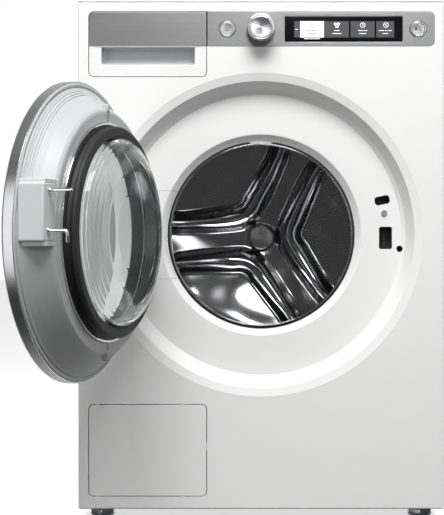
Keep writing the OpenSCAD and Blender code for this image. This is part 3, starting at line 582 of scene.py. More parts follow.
STRIP_STEEL = brushed("brushed_strip_steel", (0.37, 0.37, 0.375), (0.53, 0.53, 0.535), 0.32,
                      (6, 40, 2600))
ZINC = brushed("zinc_plated_steel", (0.50, 0.51, 0.53), (0.66, 0.67, 0.69), 0.38, (300, 300, 60))
KNOB_FACE = brushed("turned_knob_face", (0.55, 0.55, 0.56), (0.78, 0.78, 0.79), 0.22,
                    (5200, 300), 0.06, centre=at(0, 0, CONTROL_Z), spun=0.75)
KNOB_SATIN = brushed("turned_button_steel", (0.55, 0.55, 0.56), (0.70, 0.70, 0.71), 0.27,
                     (900, 900, 900), 0.0, spun=0.4)


def polished(name, low, high, rough):
    """Mirror polished stainless steel, with faint smears in its gloss."""
    f = Finish(name, high, rough, metal=1.0)
    g = f.use(GRAIN, Vector=f.place, Grain_size=60.0, Cloud_size=11.0)
    f.tint(g.outputs["Cloud"], low, high)
    f.vary("Roughness", g.outputs["Cloud"], rough * 0.75, rough * 1.35)
    return f.material


MIRROR_STEEL = polished("polished_drum_steel", (0.52, 0.52, 0.53), (0.62, 0.62, 0.63), 0.13)
RIM_STEEL = polished("polished_rim_steel", (0.66, 0.66, 0.67), (0.74, 0.74, 0.75), 0.10)
print("metal finishes made")


# %% Perforated steel of the drum's wrapper
WRAPPER_RADIUS = 235.7


def perforated():
    """Polished steel whose staggered holes are dark dots with a dished edge."""
    f = Finish("perforated_drum_steel", (0.60, 0.60, 0.61), 0.16, metal=1.0)
    across, along = f.wrapped(WRAPPER_RADIUS * MM, at(0, 0, DRUM_Z))
    d = f.use(DOTS, Across=across, Along=along, Pitch=0.0148, Dot=0.14)
    g = f.use(GRAIN, Vector=f.place, Grain_size=60.0, Cloud_size=11.0)
    steel = f.tint(g.outputs["Cloud"], (0.52, 0.52, 0.53), (0.62, 0.62, 0.63))
    f.tint(d.outputs["Dot mask"], (0, 0, 0), (0.008, 0.008, 0.008), source=steel)
    f.vary("Roughness", g.outputs["Cloud"], 0.12, 0.22)
    f.bump(d.outputs["Dish"], 0.5, 0.004)
    return f.material


DRUM_WRAP = perforated()


# %% Clear glass
def glass(name, color):
    """Plain glass. A low index keeps the thick bowl clear, with thin bright edges."""
    f = Finish(name, color, 0.0)
    g = f.use(GRAIN, Vector=f.place, Grain_size=30.0, Cloud_size=5.0)
    f.vary("Roughness", g.outputs["Cloud"], 0.0, 0.02)
    f.shader.inputs["Transmission Weight"].default_value = 1.0
    f.shader.inputs["IOR"].default_value = 1.3
    return f.material


CLEAR_GLASS = glass("clear_bowl_glass", (0.96, 0.975, 0.97))
TINTED = glass("grey_door_glass", (0.80, 0.81, 0.81))


# %% Black glass, lit areas and dots painted as a reflection
def black_glass():
    """Glossy black glass, with a faint cloud in its gloss."""
    f = Finish("display_glass", (0.006, 0.006, 0.007), 0.06)
    g = f.use(GRAIN, Vector=f.place, Grain_size=300.0, Cloud_size=14.0)
    f.tint(g.outputs["Cloud"], (0.003, 0.003, 0.004), (0.008, 0.008, 0.009))
    f.vary("Roughness", g.outputs["Cloud"], 0.05, 0.11)
    return f.material


def glowing(name, color, strength):
    """A lit area of the display, a little uneven from its backlight."""
    f = Finish(name, color, 0.3)
    g = f.use(GRAIN, Vector=f.place, Grain_size=300.0, Cloud_size=30.0)
    f.tint(g.outputs["Cloud"], tuple(0.92 * c for c in color), color)
    f.shader.inputs["Emission Color"].default_value = (*color, 1)
    f.shader.inputs["Emission Strength"].default_value = strength
    return f.material


def dotted(name, color, dot_color, pitch, dot, radius, centre, turn):
    """Near-black colour with a grid of darker dots, a painted reflection of the perforated drum,
    laid out round the door's axis and along it.
    """
    f = Finish(name, color, 0.35)
    across, along = f.wrapped(radius * MM, centre, turn)
    d = f.use(DOTS, Across=across, Along=along, Pitch=pitch, Dot=dot)
    f.tint(d.outputs["Dot mask"], color, dot_color)
    g = f.use(GRAIN, Vector=f.place, Grain_size=900.0, Cloud_size=9.0)
    f.vary("Roughness", g.outputs["Cloud"], 0.3, 0.42)
    f.bump(d.outputs["Dish"], 0.3, 0.002)
    return f.material


BLACK_GLASS = black_glass()
TILE_LIGHT = glowing("display_white", (0.9, 0.9, 0.9), 0.55)
TILE_DARK = glowing("display_grey", (0.06, 0.06, 0.062), 0.35)
print("glass and display finishes made")

# %% [markdown]
# ## The front sheet
# The front panel is one pressed sheet. Its flat face turns into a shallow bevel round the door
# recess, then into the recess wall, its floor, and a slope into the drum's mouth. The flat face
# is filled between its outline and a circle, and the recess is spun from that same circle, so
# the two meet without a seam. A Solidify modifier gives the sheet its thickness. The slots of
# the door lock and the hinge's window are then cut out of the recess floor.

# %% Front panel
STEPS = 192
BEVEL_RADIUS = 266
WINDOW = (-228.3, -77, 20, 45, DRUM_Z - 72, DRUM_Z + 72)


def front_sheet():
    """The face with its three openings, and the recess spun from a circle in it."""
    bm = bmesh.new()
    outer = skirt(bm, box_outline(-HALF_W, HALF_W, PANEL_FOOT, PANEL_TOP, 2.4),
                  lip(2.2, 0, 17.9, 1, 5))
    controls = outline((-281, 724.5, 9), (-88, 724.5, 9), (-88, 774.5, 0), (282.5, 774.5, 9),
                       (282.5, 831.5, 9), (-281, 831.5, 9))
    hatchway = box_outline(-281, -88, 42, 192.5, 9)
    rims = [skirt(bm, hole, lip(0.5, 0, 1.6, -1))[0] for hole in (controls, hatchway)]
    round_edge = [bm.verts.new(at(p.x, 0, p.y)) for p in disc(0, DRUM_Z, BEVEL_RADIUS, STEPS)()]
    fill(bm, [outer[0], *rims, round_edge])
    section = rounded([(BEVEL_RADIUS, 0), (263.5, 0, 1.2), (249.8, 3, 1.6), (236.8, 21, 3),
                       (230.3, 25, 3), (164.5, 25, 4), (154, 34, 3), (154, 42)],
                      steps=5, margin=0.4)
    spin_section(bm, section, STEPS, closed=False)
    return finish_mesh(bm, "front_sheet", sharp=38, facing=(0, -1, 0))


def slot_tools():
    """The slots for the two latch rods, a round hole, and the hole of the lock's screw."""
    pill = plate("pill", box_outline(186.3, 211.1, DRUM_Z + 49.6, DRUM_Z + 63.6, 5), 12, 60)
    turn = Matrix.Rotation(math.radians(-12), 4, "Y")
    spot = Matrix.Translation(at(198.7, 0, DRUM_Z + 56.6))
    pill.data.transform(spot @ turn @ spot.inverted())
    return [pill,
            plate("d_slot", box_outline(193.5, 214.8, DRUM_Z - 23.5, DRUM_Z + 13.1, 3.5), 12, 60),
            plate("hole", disc(227.1, DRUM_Z - 23, 5.2, 32), 19, 60, radius=0.1),
            plate("screw_hole", disc(201.9, DRUM_Z + 36, 2.6, 32), 12, 60, radius=0.1)]


def window_box(name, grow):
    """The hinge's window as a block, a little larger or smaller."""
    x0, x1, y0, y1, z0, z1 = WINDOW
    return crate(name, x0 - grow, x1, y0, y1, z0 - grow, z1 + grow, bevel=0.05, segments=1)


window_tool = cut(window_box("window", 0.5),
                  plate("core", disc(0, DRUM_Z, 156.5, STEPS), -10, 70, radius=0.1))
front = cut(front_sheet(), window_tool, *slot_tools(), thickness=1.1)
hand_over(front, "cabinet", WHITE_PAINT, "front_panel", slot="white_paint",
          name="front_panel_sheet")

# %% Hinge cover, which fills the opening beside the hinge
cover = turned("hinge_cover_shell", [(229.3, 25.1), (164.5, 25.1, 3), (157, 31.6), (157, 33.2),
                                     (165.2, 26.7), (229.3, 26.7)], STEPS)
ear_slots = [crate(f"ear_slot_{i}", -180, -168, 0, 60, DRUM_Z + z - 4, DRUM_Z + z + 4, 1.5)
             for i, z in enumerate((-45, 45))]
cover = cut(cut(cover, window_box("window", -0.1), how="INTERSECT"), *ear_slots)
hand_over(cover, "cabinet", WHITE_PLASTIC, "hinge_cover", slot="white_plastic",
          name="hinge_cover_plate")

# %% [markdown]
# ## Cabinet sides, top and feet
# The side panels and the top cover are folded sheet with a small radius on every fold. A bevelled
# box is the right start for each, because the bevel is what shows.

# %% Side panels and top cover
SHEET, FLANGE = 1.5, 16
for side, word in ((-1, "left"), (1, "right")):
    sheet_x = sorted((side * HALF_W, side * (HALF_W - SHEET)))
    flange_x = sorted((side * HALF_W, side * (HALF_W - FLANGE)))
    panel = joined(f"{word}_side_sheet",
                   crate("sheet", *sheet_x, 18.5, 585, 22, 846.5, 0.6),
                   crate("flange", *flange_x, 565, 565 + SHEET, 22, 846.5, 0.5))
    hand_over(panel, "cabinet", WHITE_PAINT, f"{word}_side_panel", slot="white_paint")

top = crate("top_cover_plate", -HALF_W, HALF_W, 0, 585, 847, 850, 1.45, 4)
hand_over(top, "cabinet", WHITE_PAINT, "top_cover", slot="white_paint")


# %% Feet: a hexagon on a round pad, with a thread
def foot(side, word):
    """Four cones on one axis, each with its rims bevelled."""
    bm = bmesh.new()
    pad, flare, hexagon, thread = ((48, 16, 16, 0, 2), (48, 16, 20, 2, 10),
                                   (6, 20.8, 20.8, 10, 18), (24, 5, 5, 18, 46))
    for segments, low_r, high_r, z0, z1 in (pad, flare, hexagon, thread):
        got = bmesh.ops.create_cone(bm, cap_ends=True, segments=segments, radius1=low_r * MM,
                                    radius2=high_r * MM, depth=(z1 - z0) * MM)
        bmesh.ops.translate(bm, verts=got["verts"], vec=at(side * 261.4, 45, (z0 + z1) / 2))
        rims = {e for v in got["verts"] for e in v.link_edges if e.calc_face_angle(0) > 0.7}
        bmesh.ops.bevel(bm, geom=list(rims), offset=0.7 * MM, segments=2, profile=0.5,
                        affect="EDGES", material=-1)
    made = finish_mesh(bm, f"{word}_levelling_foot", 30)
    return hand_over(made, f"{word}_foot", ZINC, f"foot_{word}", slot="zinc_steel")


foot(-1, "left")
foot(1, "right")

# %% [markdown]
# ## Steel strip, drawer and controls
# The strip is thin brushed steel with the grain across it. The drawer wears its own piece of the
# same strip. Between them there is a fine dark gap, and in the white drawer front a deep grip.

# %% Control strip and drawer
STRIP_Z0, STRIP_Z1 = 774.5, 831.5
POWER_X, START_X = -55.3, 255.5
openings = [box_outline(38.5, 230.5, CONTROL_Z - 21, CONTROL_Z + 21, 2.5),
            disc(POWER_X, CONTROL_Z, 13.9), disc(START_X, CONTROL_Z, 13.9),
            disc(0, CONTROL_Z, 12)]
strip_edge = box_outline(-87.4, 282.1, STRIP_Z0 + 0.4, STRIP_Z1 - 0.4, 0.3, 8, 8, 0.3)
strip = plate("control_strip", strip_edge, 0, 2.2, holes=openings, radius=0.35)
hand_over(strip, "cabinet", STRIP_STEEL, "control_fascia", slot="brushed_steel")

trim_edge = box_outline(-280, -89, STRIP_Z0 + 0.1, STRIP_Z1 - 1, 0.3, 0.3, 0.3, 8)
trim = plate("drawer_strip", trim_edge, 0, 1.3, radius=0.35)
hand_over(trim, "drawer", STRIP_STEEL, "drawer_trim", slot="brushed_steel")

grip_edge = box_outline(-260, -108, 744.7, STRIP_Z0 - 0.4, 4, 4, 0.3, 0.3)
face = plate("drawer_face", box_outline(-280, -89, 725.5, STRIP_Z0, 8, 8, 0.3, 0.3), 0, 5,
             holes=[grip_edge], radius=0.8)
carrier = plate("carrier", box_outline(-278, -91, 772.5, 828.5, 0.3, 0.3, 6, 6), 1.5, 5,
                radius=0.3)
hand_over(joined("drawer_front_face", face, carrier), "drawer", WHITE_PLASTIC, "drawer_front",
          slot="white_plastic")


# %% The grip: a pocket open at the front, lower behind than in front
def grip_pocket():
    """One outline drawn in as it goes back, closed behind, then made 1.2 mm thick."""
    bm = bmesh.new()
    shape = box_outline(-261, -107, 743.7, STRIP_Z0 + 1.4, 4.6, 4.6, 1, 1)
    loops = skirt(bm, shape, [(-0.6, 5), (0.6, 4.9), (0.6, 14), (1.6, 17.4), (4.4, 19.4),
                              (8, 19.8)])
    fill(bm, [loops[-1]])
    made = finish_mesh(bm, "grip", 50, facing=(0, -1, 0))
    return cut(made, thickness=1.2, sharp=50)


# The pocket is white plastic like the drawer; its grey finish is painted shade for the deep recess.
hand_over(grip_pocket(), "drawer", GREY_PLASTIC_AND_PAINTED_SHADE, slot="white_plastic", name="drawer_grip_pocket")


# %% Round buttons with a turned rim, and their marks
BUTTON_SECTION = [(0, -0.6), (10.2, -0.9, 0.6), (10.7, -0.2, 0.15), (11.3, -0.2, 0.15),
                  (11.6, -1.2, 0.3), (13.1, -1.0, 0.5), (13.1, 8), (4, 8), (4, 12), (0, 12)]
for word, x in (("power", POWER_X), ("start", START_X)):
    hand_over(post(f"{word}_key", x, CONTROL_Z, BUTTON_SECTION, 72), f"{word}_key", KNOB_SATIN,
              f"{word}_button", slot="brushed_steel")


def flat_mark(name, body, material, shapes, y, thick=0.12):
    """Thin printed or lit shapes in front of a face. A list is a shape, then its holes."""
    parts = []
    for i, item in enumerate(shapes):
        shape, *holes = item if isinstance(item, list) else [item]
        parts.append(plate(f"{name}_{i}", shape, y - thick, y, holes=holes, radius=0.03, steps=1))
    return hand_over(joined(name, *parts), body, material)


def arc_band(x, z, r0, r1, start, sweep, steps=28):
    """Outline of part of a ring."""
    def arc(radius, first, turn):
        angles = [math.radians(first + turn * i / steps) for i in range(steps + 1)]
        return [(x + radius * math.cos(a), z + radius * math.sin(a), 0) for a in angles]
    return outline(*arc(r1, start, sweep), *arc(r0, start + sweep, -sweep))


def bar(x0, x1, z0, z1, radius=0.2):
    """A short bar, in heights from the middle of the controls."""
    return box_outline(x0, x1, CONTROL_Z + z0, CONTROL_Z + z1, radius)


MARK_Y = -0.75
flat_mark("power_mark", "power_key", MARK_DARK,
          [arc_band(POWER_X, CONTROL_Z - 0.3, 2.7, 3.5, 125, 290),
           bar(POWER_X - 0.4, POWER_X + 0.4, 0.3, 4.0, 0.3)], MARK_Y)
triangle = outline((START_X - 5, CONTROL_Z - 3, 0.2), (START_X - 0.2, CONTROL_Z, 0.2),
                   (START_X - 5, CONTROL_Z + 3, 0.2))
flat_mark("start_mark", "start_key", MARK_DARK,
          [triangle, bar(START_X + 1.4, START_X + 2.5, -2.7, 2.7),
           bar(START_X + 3.8, START_X + 4.9, -2.7, 2.7)], MARK_Y)

# %% Programme knob
knob = post("programme_knob_shell", 0, CONTROL_Z,
            [(0, -27.2), (17.2, -27.9, 0.8), (17.8, -26.6, 0.3), (18.8, -26.6, 0.3),
             (19.4, -27.9, 0.6), (22.4, -27.0, 1.6), (23.1, -3.4, 0.8), (22.0, -2.1),
             (20, -2.1), (20, -23.9), (8, -23.9), (8, -2.1), (3.1, -2.1), (3.1, -22.4),
             (0, -22.4)], 128)
hand_over(knob, "knob", KNOB_FACE, "program_knob", slot="polished_steel")

# %% Display: black glass and its programme tiles
display_edge = box_outline(38.8, 230.2, CONTROL_Z - 20.7, CONTROL_Z + 20.7, 2.4)
glass_face = plate("display_glass_face", display_edge, -0.4, 3, radius=0.5)
hand_over(glass_face, "cabinet", BLACK_GLASS, "display_window", slot="display_glass")
TILE_Z0, TILE_Z1 = 789.2, 815.6
LIT_Y = -0.42
PICTURE_Y = LIT_Y - 0.12


def tile(x0, x1):
    return box_outline(x0, x1, TILE_Z0, TILE_Z1, 0.8)


flat_mark("display_tiles", "cabinet", TILE_DARK,
          [tile(54, 61.6), tile(103.9, 143), tile(145.7, 184.8), tile(187.5, 216.4)], LIT_Y)
flat_mark("display_chosen_tile", "cabinet", TILE_LIGHT,
          [tile(63.3, 102.4), box_outline(70, 96, 786.6, 787.6, 0.3)], LIT_Y)


# %% Pictures on the tiles
ICON_Z, FIRST_LINE, SECOND_LINE = 809.3, 800.4, 795.6


def label(x, z, *widths):
    """Short bars in place of a line of words."""
    gap, bars = 1.0, []
    left = x - (sum(widths) + gap * (len(widths) - 1)) / 2
    for w in widths:
        bars.append(box_outline(left, left + w, z - 0.55, z + 0.55, 0.3))
        left += w + gap
    return bars


def stroke(x0, x1, z0, z1):
    """One short line of a picture, in heights from the pictures' middle."""
    return box_outline(x0, x1, ICON_Z + z0, ICON_Z + z1, 0.2)


def ring(x, r0, r1):
    return [disc(x, ICON_Z, r1, 32), disc(x, ICON_Z, r0, 32)]


def shield(x, z):
    return outline((x, z - 4.6, 0.6), (x + 4, z - 1.2, 1.5), (x + 4, z + 4, 0.5),
                   (x - 4, z + 4, 0.5), (x - 4, z - 1.2, 1.5))


def shirt(x, z):
    return outline((x - 2.6, z - 4, 0.3), (x + 2.6, z - 4, 0.3), (x + 2.6, z + 0.6, 0.1),
                   (x + 4.2, z + 0.2, 0.3), (x + 5.2, z + 3, 0.3), (x + 2, z + 4.2, 0.3),
                   (x, z + 3, 1), (x - 2, z + 4.2, 0.3), (x - 5.2, z + 3, 0.3),
                   (x - 4.2, z + 0.2, 0.3), (x - 2.6, z + 0.6, 0.1))


guard = shield(82.8, ICON_Z)
flat_mark("display_dark_pictures", "cabinet", MARK_DARK,
          [[guard, lambda d=0: guard(0.8 + d)], stroke(82.3, 83.3, -2.4, 2.4),
           stroke(80.6, 82.2, -0.5, 0.5), stroke(83.4, 85, -0.5, 0.5),
           *label(82.8, FIRST_LINE, 7, 10), *label(82.8, SECOND_LINE, 16)], PICTURE_Y)
flat_mark("display_light_pictures", "cabinet", TILE_LIGHT,
          [[shirt(123.4, ICON_Z), disc(123.4, ICON_Z - 0.6, 1.5, 24)],
           *label(123.4, FIRST_LINE, 9), *label(123.4, SECOND_LINE, 15),
           ring(165.2, 3.4, 4.2), stroke(164.8, 165.6, -0.3, 2.6),
           stroke(165.2, 167.4, -0.5, 0.3),
           *label(165.2, FIRST_LINE, 8, 6), *label(165.2, SECOND_LINE, 12),
           ring(203, 3.5, 4.2), arc_band(199.6, ICON_Z - 3.4, 4.6, 5.2, 15, 60, 10),
           arc_band(206.4, ICON_Z + 3.4, 4.6, 5.2, 195, 60, 10),
           *label(202, FIRST_LINE, 9, 4, 6), *label(202, SECOND_LINE, 9),
           box_outline(55.6, 60, 801.9, 802.9, 0.2)], PICTURE_Y)

# %% [markdown]
# ## Pump hatch
# The hatch is a plain moulded door, flush with the front. Small bridges hold it at its top and
# bottom edge, and a push mark shows the side that springs open.

# %% Hatch
HATCH_HINGE_X, KNUCKLE_R = -270, 3.1


def knuckle(z):
    """A round hinge barrel that stands upright, and the block that carries it."""
    bm = bmesh.new()
    bmesh.ops.create_cone(bm, cap_ends=True, segments=32, radius1=KNUCKLE_R * MM,
                          radius2=KNUCKLE_R * MM, depth=14 * MM)
    bmesh.ops.translate(bm, verts=bm.verts, vec=at(HATCH_HINGE_X, 3.2, z))
    block = crate("block", HATCH_HINGE_X, HATCH_HINGE_X + 12, 1.1, 3.2, z - 7, z + 7, 0.4)
    return [block, finish_mesh(bm, "barrel")]


hatch = plate("hatch_plate", box_outline(-279.9, -89.1, 43.1, 191.4, 7.9), 0.05, 1.3, radius=0.5)
bridges = [crate("bridge", x - 3.2, x + 3.2, 0.12, 1.2, z - 0.2, z + 1.1, 0.2)
           for z in (191.2, 42.5) for x in (-266.4, -127.5)]
catch = crate("catch", -89.3, -88.1, 0.12, 1.2, 118, 130, 0.2)
mark = plate("push_mark", box_outline(-98.6, -97.2, 108.5, 126.5, 0.6), -0.15, 0.4, radius=0.1)
hatch = joined("pump_hatch_face", hatch, *bridges, catch, mark, *knuckle(75), *knuckle(155))
hand_over(hatch, "hatch", WHITE_PLASTIC, "pump_hatch", slot="white_plastic")

# %% [markdown]
# ## Drum and mouth
# The mouth has a polished steel rim, with a pale insert at its top. Behind it turns the drum. Its
# back is one deep pressing with three bent ridges, so it is spun as a fine flat disc whose points
# are pushed forward by a formula: the distance from each bent centre line sets the height.

# %% Rim of the mouth
rim = turned("mouth_rim", [(147.5, 31.4, 0.6), (148.6, 30.1, 0.5), (149.8, 30.1, 0.4),
                           (150.3, 31.6, 0.3), (150.3, 42), (158, 42), (158, 44), (147.5, 44)],
             STEPS)
hand_over(rim, "cabinet", RIM_STEEL, "opening_rim", slot="polished_steel")


def rim_insert():
    """A short pale piece in the gap at the top of the rim."""
    bm = bmesh.new()
    section = rounded([(150.4, 30.4, 0.4), (153.6, 30.4, 0.4), (153.6, 40), (150.4, 40)], 3)
    half_angle = 6.8
    spin_section(bm, section, 16, start=90 - half_angle, sweep=2 * half_angle)
    bmesh.ops.holes_fill(bm, edges=[e for e in bm.edges if e.is_boundary])
    return finish_mesh(bm, "mouth_rim_insert")


hand_over(rim_insert(), "cabinet", GREY_PLASTIC_AND_PAINTED_SHADE, slot="tub_plastic")
gap_ring = turned("mouth_gap_seal", [(150.5, 35), (153.9, 35), (153.9, 41.8), (150.5, 41.8)], STEPS)
hand_over(gap_ring, "cabinet", RUBBER, slot="rubber_black")

# %% Drum wrapper, lip and lifters
BACK_Y = 411
wrapper = turned("drum_wrapper", [
    (WRAPPER_RADIUS, BACK_Y), (WRAPPER_RADIUS, 66, 2), (232, 61.6, 1.5), (160, 59.6, 0.8),
    (156.5, 61.2, 0.8), (154.5, 63.5, 0.6), (153, 62, 0.6), (154.5, 59, 0.6), (160, 58, 1),
    (233, 60, 2), (237.2, 65, 2), (237.2, BACK_Y)], STEPS)
hand_over(wrapper, "drum", DRUM_WRAP, "drum_shell", slot="polished_steel")


def lifter(turn):
    """A paddle with a rounded crest: its profile, pushed along the drum and bevelled."""
    bm = bmesh.new()
    front_y, length = 110, 265
    profile = rounded([(235.4, -33), (235.4, 33), (186, 14.5, 5), (178.6, 9, 5), (178.6, -9, 5),
                       (186, -14.5, 5)], 4)
    end = bm.faces.new([bm.verts.new(at(p.x, front_y, DRUM_Z + p.y)) for p in profile])
    pushed = bmesh.ops.extrude_face_region(bm, geom=[end], use_keep_orig=True)["geom"]
    bmesh.ops.translate(bm, verts=[v for v in pushed if isinstance(v, bmesh.types.BMVert)],
                        vec=(0, length * MM, 0))
    rims = [e for e in bm.edges if abs(e.verts[0].co.y - e.verts[1].co.y) < 1e-6]
    bmesh.ops.bevel(bm, geom=rims, offset=3 * MM, segments=4, profile=0.5, affect="EDGES",
                    material=-1)
    bmesh.ops.rotate(bm, verts=bm.verts, cent=at(0, 0, DRUM_Z),
                     matrix=Matrix.Rotation(-math.radians(turn), 3, "Y"))
    return finish_mesh(bm, f"lifter_{turn}", 45)


paddles = joined("drum_paddles", *[lifter(turn) for turn in (64, 184, 304)])
hand_over(paddles, "drum", MIRROR_STEEL, "drum_lifters", slot="polished_steel")


# %% The pressed back of the drum
def smooth(a, b, x):
    t = max(0.0, min(1.0, (x - a) / (b - a)))
    return t * t * (3 - 2 * t)


RIDGE_TURNS = (4, 124, 244)
RIDGE_BEND = math.radians(60)
ELBOW_OUT, ELBOW_SOFT = 52, 20.0
HUB_R, KEEP_R, DISC_RINGS = 22, 150, 71


def ridge_height(x, z):
    """Height of the pressing: three bent ridges, each a low step with a round crown on it."""
    high = 0.0
    for turn in RIDGE_TURNS:
        a = math.radians(turn)
        along = x * math.cos(a) + z * math.sin(a)
        across = abs(-x * math.sin(a) + z * math.cos(a))
        bend = math.hypot(across, ELBOW_SOFT) - ELBOW_SOFT
        tip = max(0.0, math.hypot(x, z) - KEEP_R) * 0.16
        centre = ELBOW_OUT + bend / math.tan(RIDGE_BEND) + tip
        square = (math.pi / 2 - RIDGE_BEND) * max(0.0, 1 - across / ELBOW_SOFT)
        off = abs((along - centre) * math.sin(RIDGE_BEND + square))
        half = 23.5 - 6.5 * smooth(30, 170, across)
        step = 1 - smooth(half - 5.5, half + 1.5, off)
        crown = max(0.0, 1 - (off / (half - 4.5)) ** 2)
        high = max(high, 4.5 * step + 9.5 * crown)
    return high


def dish_depth(r):
    """The shallow dish that the ridges stand on: round at first, then falling away."""
    over = min(max(r - KEEP_R, 0), 60)
    return (min(r, KEEP_R) ** 2 - HUB_R ** 2) / (2 * 600) + over * 0.25 * (1 - over / 120)


def hand_wave(x, z):
    """A millimetre of unevenness, which is what breaks up the reflections in thin steel."""
    return (0.9 * math.sin(x / 17 + 1.3 * math.sin(z / 23)) * math.sin(z / 19 + 0.7)
            + 1.2 * math.sin(x / 41 + 0.4) * math.cos(z / 37))


def drum_back():
    """A fine flat disc from one spun line, whose points are then pushed towards the front."""
    bm = bmesh.new()
    line = [(0, BACK_Y)] + [(HUB_R + 3 * i, BACK_Y) for i in range(DISC_RINGS)]
    spin_section(bm, line, 300, closed=False)
    bmesh.ops.remove_doubles(bm, verts=bm.verts, dist=2e-6)
    centre = at(0, BACK_Y, DRUM_Z)
    for v in bm.verts:
        x, z = (v.co.x - centre.x) / MM, (v.co.z - centre.z) / MM
        r = max(HUB_R, math.hypot(x, z))
        keep = smooth(HUB_R, 34, r) * (1 - smooth(205, 226, r))
        v.co.y -= ((ridge_height(x, z) + hand_wave(x, z)) * keep + dish_depth(r)) * MM
    return finish_mesh(bm, "drum_back_pressing", 60, facing=(0, -1, 0))


pressing = cut(drum_back(), thickness=1.0, sharp=60)
hand_over(pressing, "drum", MIRROR_STEEL, "drum_back", slot="polished_steel")
cap = post("drum_hub_cap", 0, DRUM_Z, [(0, 392.0), (20.2, 392.8, 0.6), (22.6, 395.4, 1.2),
                                       (23, 401), (0, 401)], 96)
hand_over(cap, "drum", KNOB_SATIN, "drum_cap", slot="brushed_steel")

# %% [markdown]
# ## Door
# Each door piece is turned in the closed position, where its axis is the drum's axis. Then it is
# swung open about the hinge. The moulded frame is one thick section, the bowl is a true shell of
# glass with an inner and an outer face, and the steel bezel is a thin band round the rim.

# %% The open position
DOOR_SWING = math.radians(109)
HINGE = at(-195.6, -22.9, 0)
DOOR_OPEN = (Matrix.Translation(HINGE) @ Matrix.Rotation(-DOOR_SWING, 4, "Z")
             @ Matrix.Translation(-HINGE))
DOOR_FACE = -50
DOOR_CENTRE = DOOR_OPEN @ at(0, DOOR_FACE, DRUM_Z)


def open_door(obj):
    obj.data.transform(DOOR_OPEN)
    return obj


def behind_face(section):
    """A section of radius and depth behind the door's face, in cabinet depths."""
    return [(p[0], p[1] + DOOR_FACE, *p[2:]) for p in section]


def door_turned(name, section, sharp=32):
    return open_door(turned(name, behind_face(section), STEPS, sharp=sharp))


BEZEL_STEEL = brushed("spun_bezel_steel", (0.52, 0.52, 0.53), (0.66, 0.66, 0.67), 0.26,
                      (2600, 2600), 0.03, centre=DOOR_CENTRE, turn=DOOR_SWING)
# Painted reflection: near-black with darker dots, standing in for the perforated drum mirrored in
# the door's glass.
DRUM_REFLECTION_PAINT = dotted("painted_drum_reflection_dots", (0.022, 0.022, 0.023), (0.002, 0.002, 0.002),
                   pitch=0.0115, dot=0.17, radius=170, centre=DOOR_CENTRE, turn=DOOR_SWING)

# %% Bezel, outer glass and its black print
bezel = door_turned("door_bezel_band", [
    (227, 0.2, 1.2), (225.6, -2.1, 1.0), (221.5, -3, 1.5), (187.4, -3, 0.4), (187, -1), (222, -1),
    (225, 1.5), (225, 15), (227, 15, 0.3)])
hand_over(bezel, "door", BEZEL_STEEL, "door_bezel", slot="brushed_steel")
pane = door_turned("door_pane", [(0, -0.85), (218.9, -0.85, 0.4), (218.9, 3.05, 0.4), (0, 3.05)])
hand_over(pane, "door", TINTED, "door_outer_glass", slot="tinted_glass")
printed = door_turned("door_pane_print", [(152, 3.12), (213.2, 3.12), (213.2, 3.3), (152, 3.3)])
hand_over(printed, "door", BLACK_GLASS, slot="display_glass")

# %% Moulded frame, its ribs and lugs
FRAME_OUTSIDE = [(224.6, 3.3), (224.6, 15.5, 0.4), (223, 17, 0.5), (219.8, 17, 0.3),
                 (219.3, 15.8, 0.2), (217.5, 15.8, 0.2), (217.0, 18, 0.6), (213, 20.5, 3),
                 (206, 27.5, 8), (198, 37.5, 10), (190, 48.5, 8), (186, 54, 4), (182.5, 57.2, 2),
                 (179, 58.2, 1), (165, 58.2, 0.3), (165, 56)]
FRAME_INSIDE = [(151, 56), (151, 53), (176, 53), (181, 52), (187.5, 45.5), (195.5, 34.5),
                (203.5, 24.5), (210, 17.5), (213.5, 14.5), (213.5, 3.3)]
frame_ring = turned("door_moulded_frame", behind_face(FRAME_OUTSIDE + FRAME_INSIDE), STEPS)
notch = crate("hinge_notch", -214, -165, -42, 12, DRUM_Z - 51, DRUM_Z + 51, 1.5)
moulding = open_door(cut(frame_ring, notch))


def rib(radius, depth, start, sweep, half_thick=0.75):
    """A thin raised line that runs part of the way round the frame."""
    bm = bmesh.new()
    corners = [math.radians(a) for a in range(0, 360, 45)]
    section = [(radius + half_thick * math.cos(a), depth + half_thick * math.sin(a))
               for a in corners]
    spin_section(bm, behind_face(section), 60, start=start, sweep=sweep)
    bmesh.ops.holes_fill(bm, edges=[e for e in bm.edges if e.is_boundary])
    return open_door(finish_mesh(bm, "rib", 50))


def frame_block(name, half_x, depths, out, half_z, bevel, segments=3):
    """A small block on the door's upright middle line, this far above or below its axis."""
    y0, y1 = depths
    z = DRUM_Z + out
    return open_door(crate(name, -half_x, half_x, DOOR_FACE + y0, DOOR_FACE + y1,
                           z - half_z, z + half_z, bevel, segments))


ribs = [rib(212.6 - 3.1 * i, 21.0 + 3.2 * i, 20, 66) for i in range(3)]
lugs = [frame_block("lug", 4.6, (50, 60.5), out, 6.5, 2.6, 4) for out in (186.5, -186.5)]
moulding = joined("door_moulded_frame", moulding, *ribs, *lugs)
hand_over(moulding, "door", FRAME_GREY, "door_inner_frame", slot="white_plastic")
slits = [frame_block("slit", 0.9, (57.4, 58.5), out, 6, 0.2) for out in (-171.5, 171.5)]
hand_over(joined("door_frame_slits", *slits), "door", RUBBER)
# The liner inside the frame carries that painted reflection of the drum, dark with dots.
liner = door_turned("door_liner_painted_reflection", [(150.6, 30), (150.6, 55.5), (149.9, 55.5), (149.9, 30)])
hand_over(liner, "door", DRUM_REFLECTION_PAINT)
sleeve = door_turned("door_inner_sleeve", [(150.9, 3.4), (150.9, 30.5), (149.9, 30), (149.9, 3.4)])
hand_over(sleeve, "door", WHITE_PLASTIC)

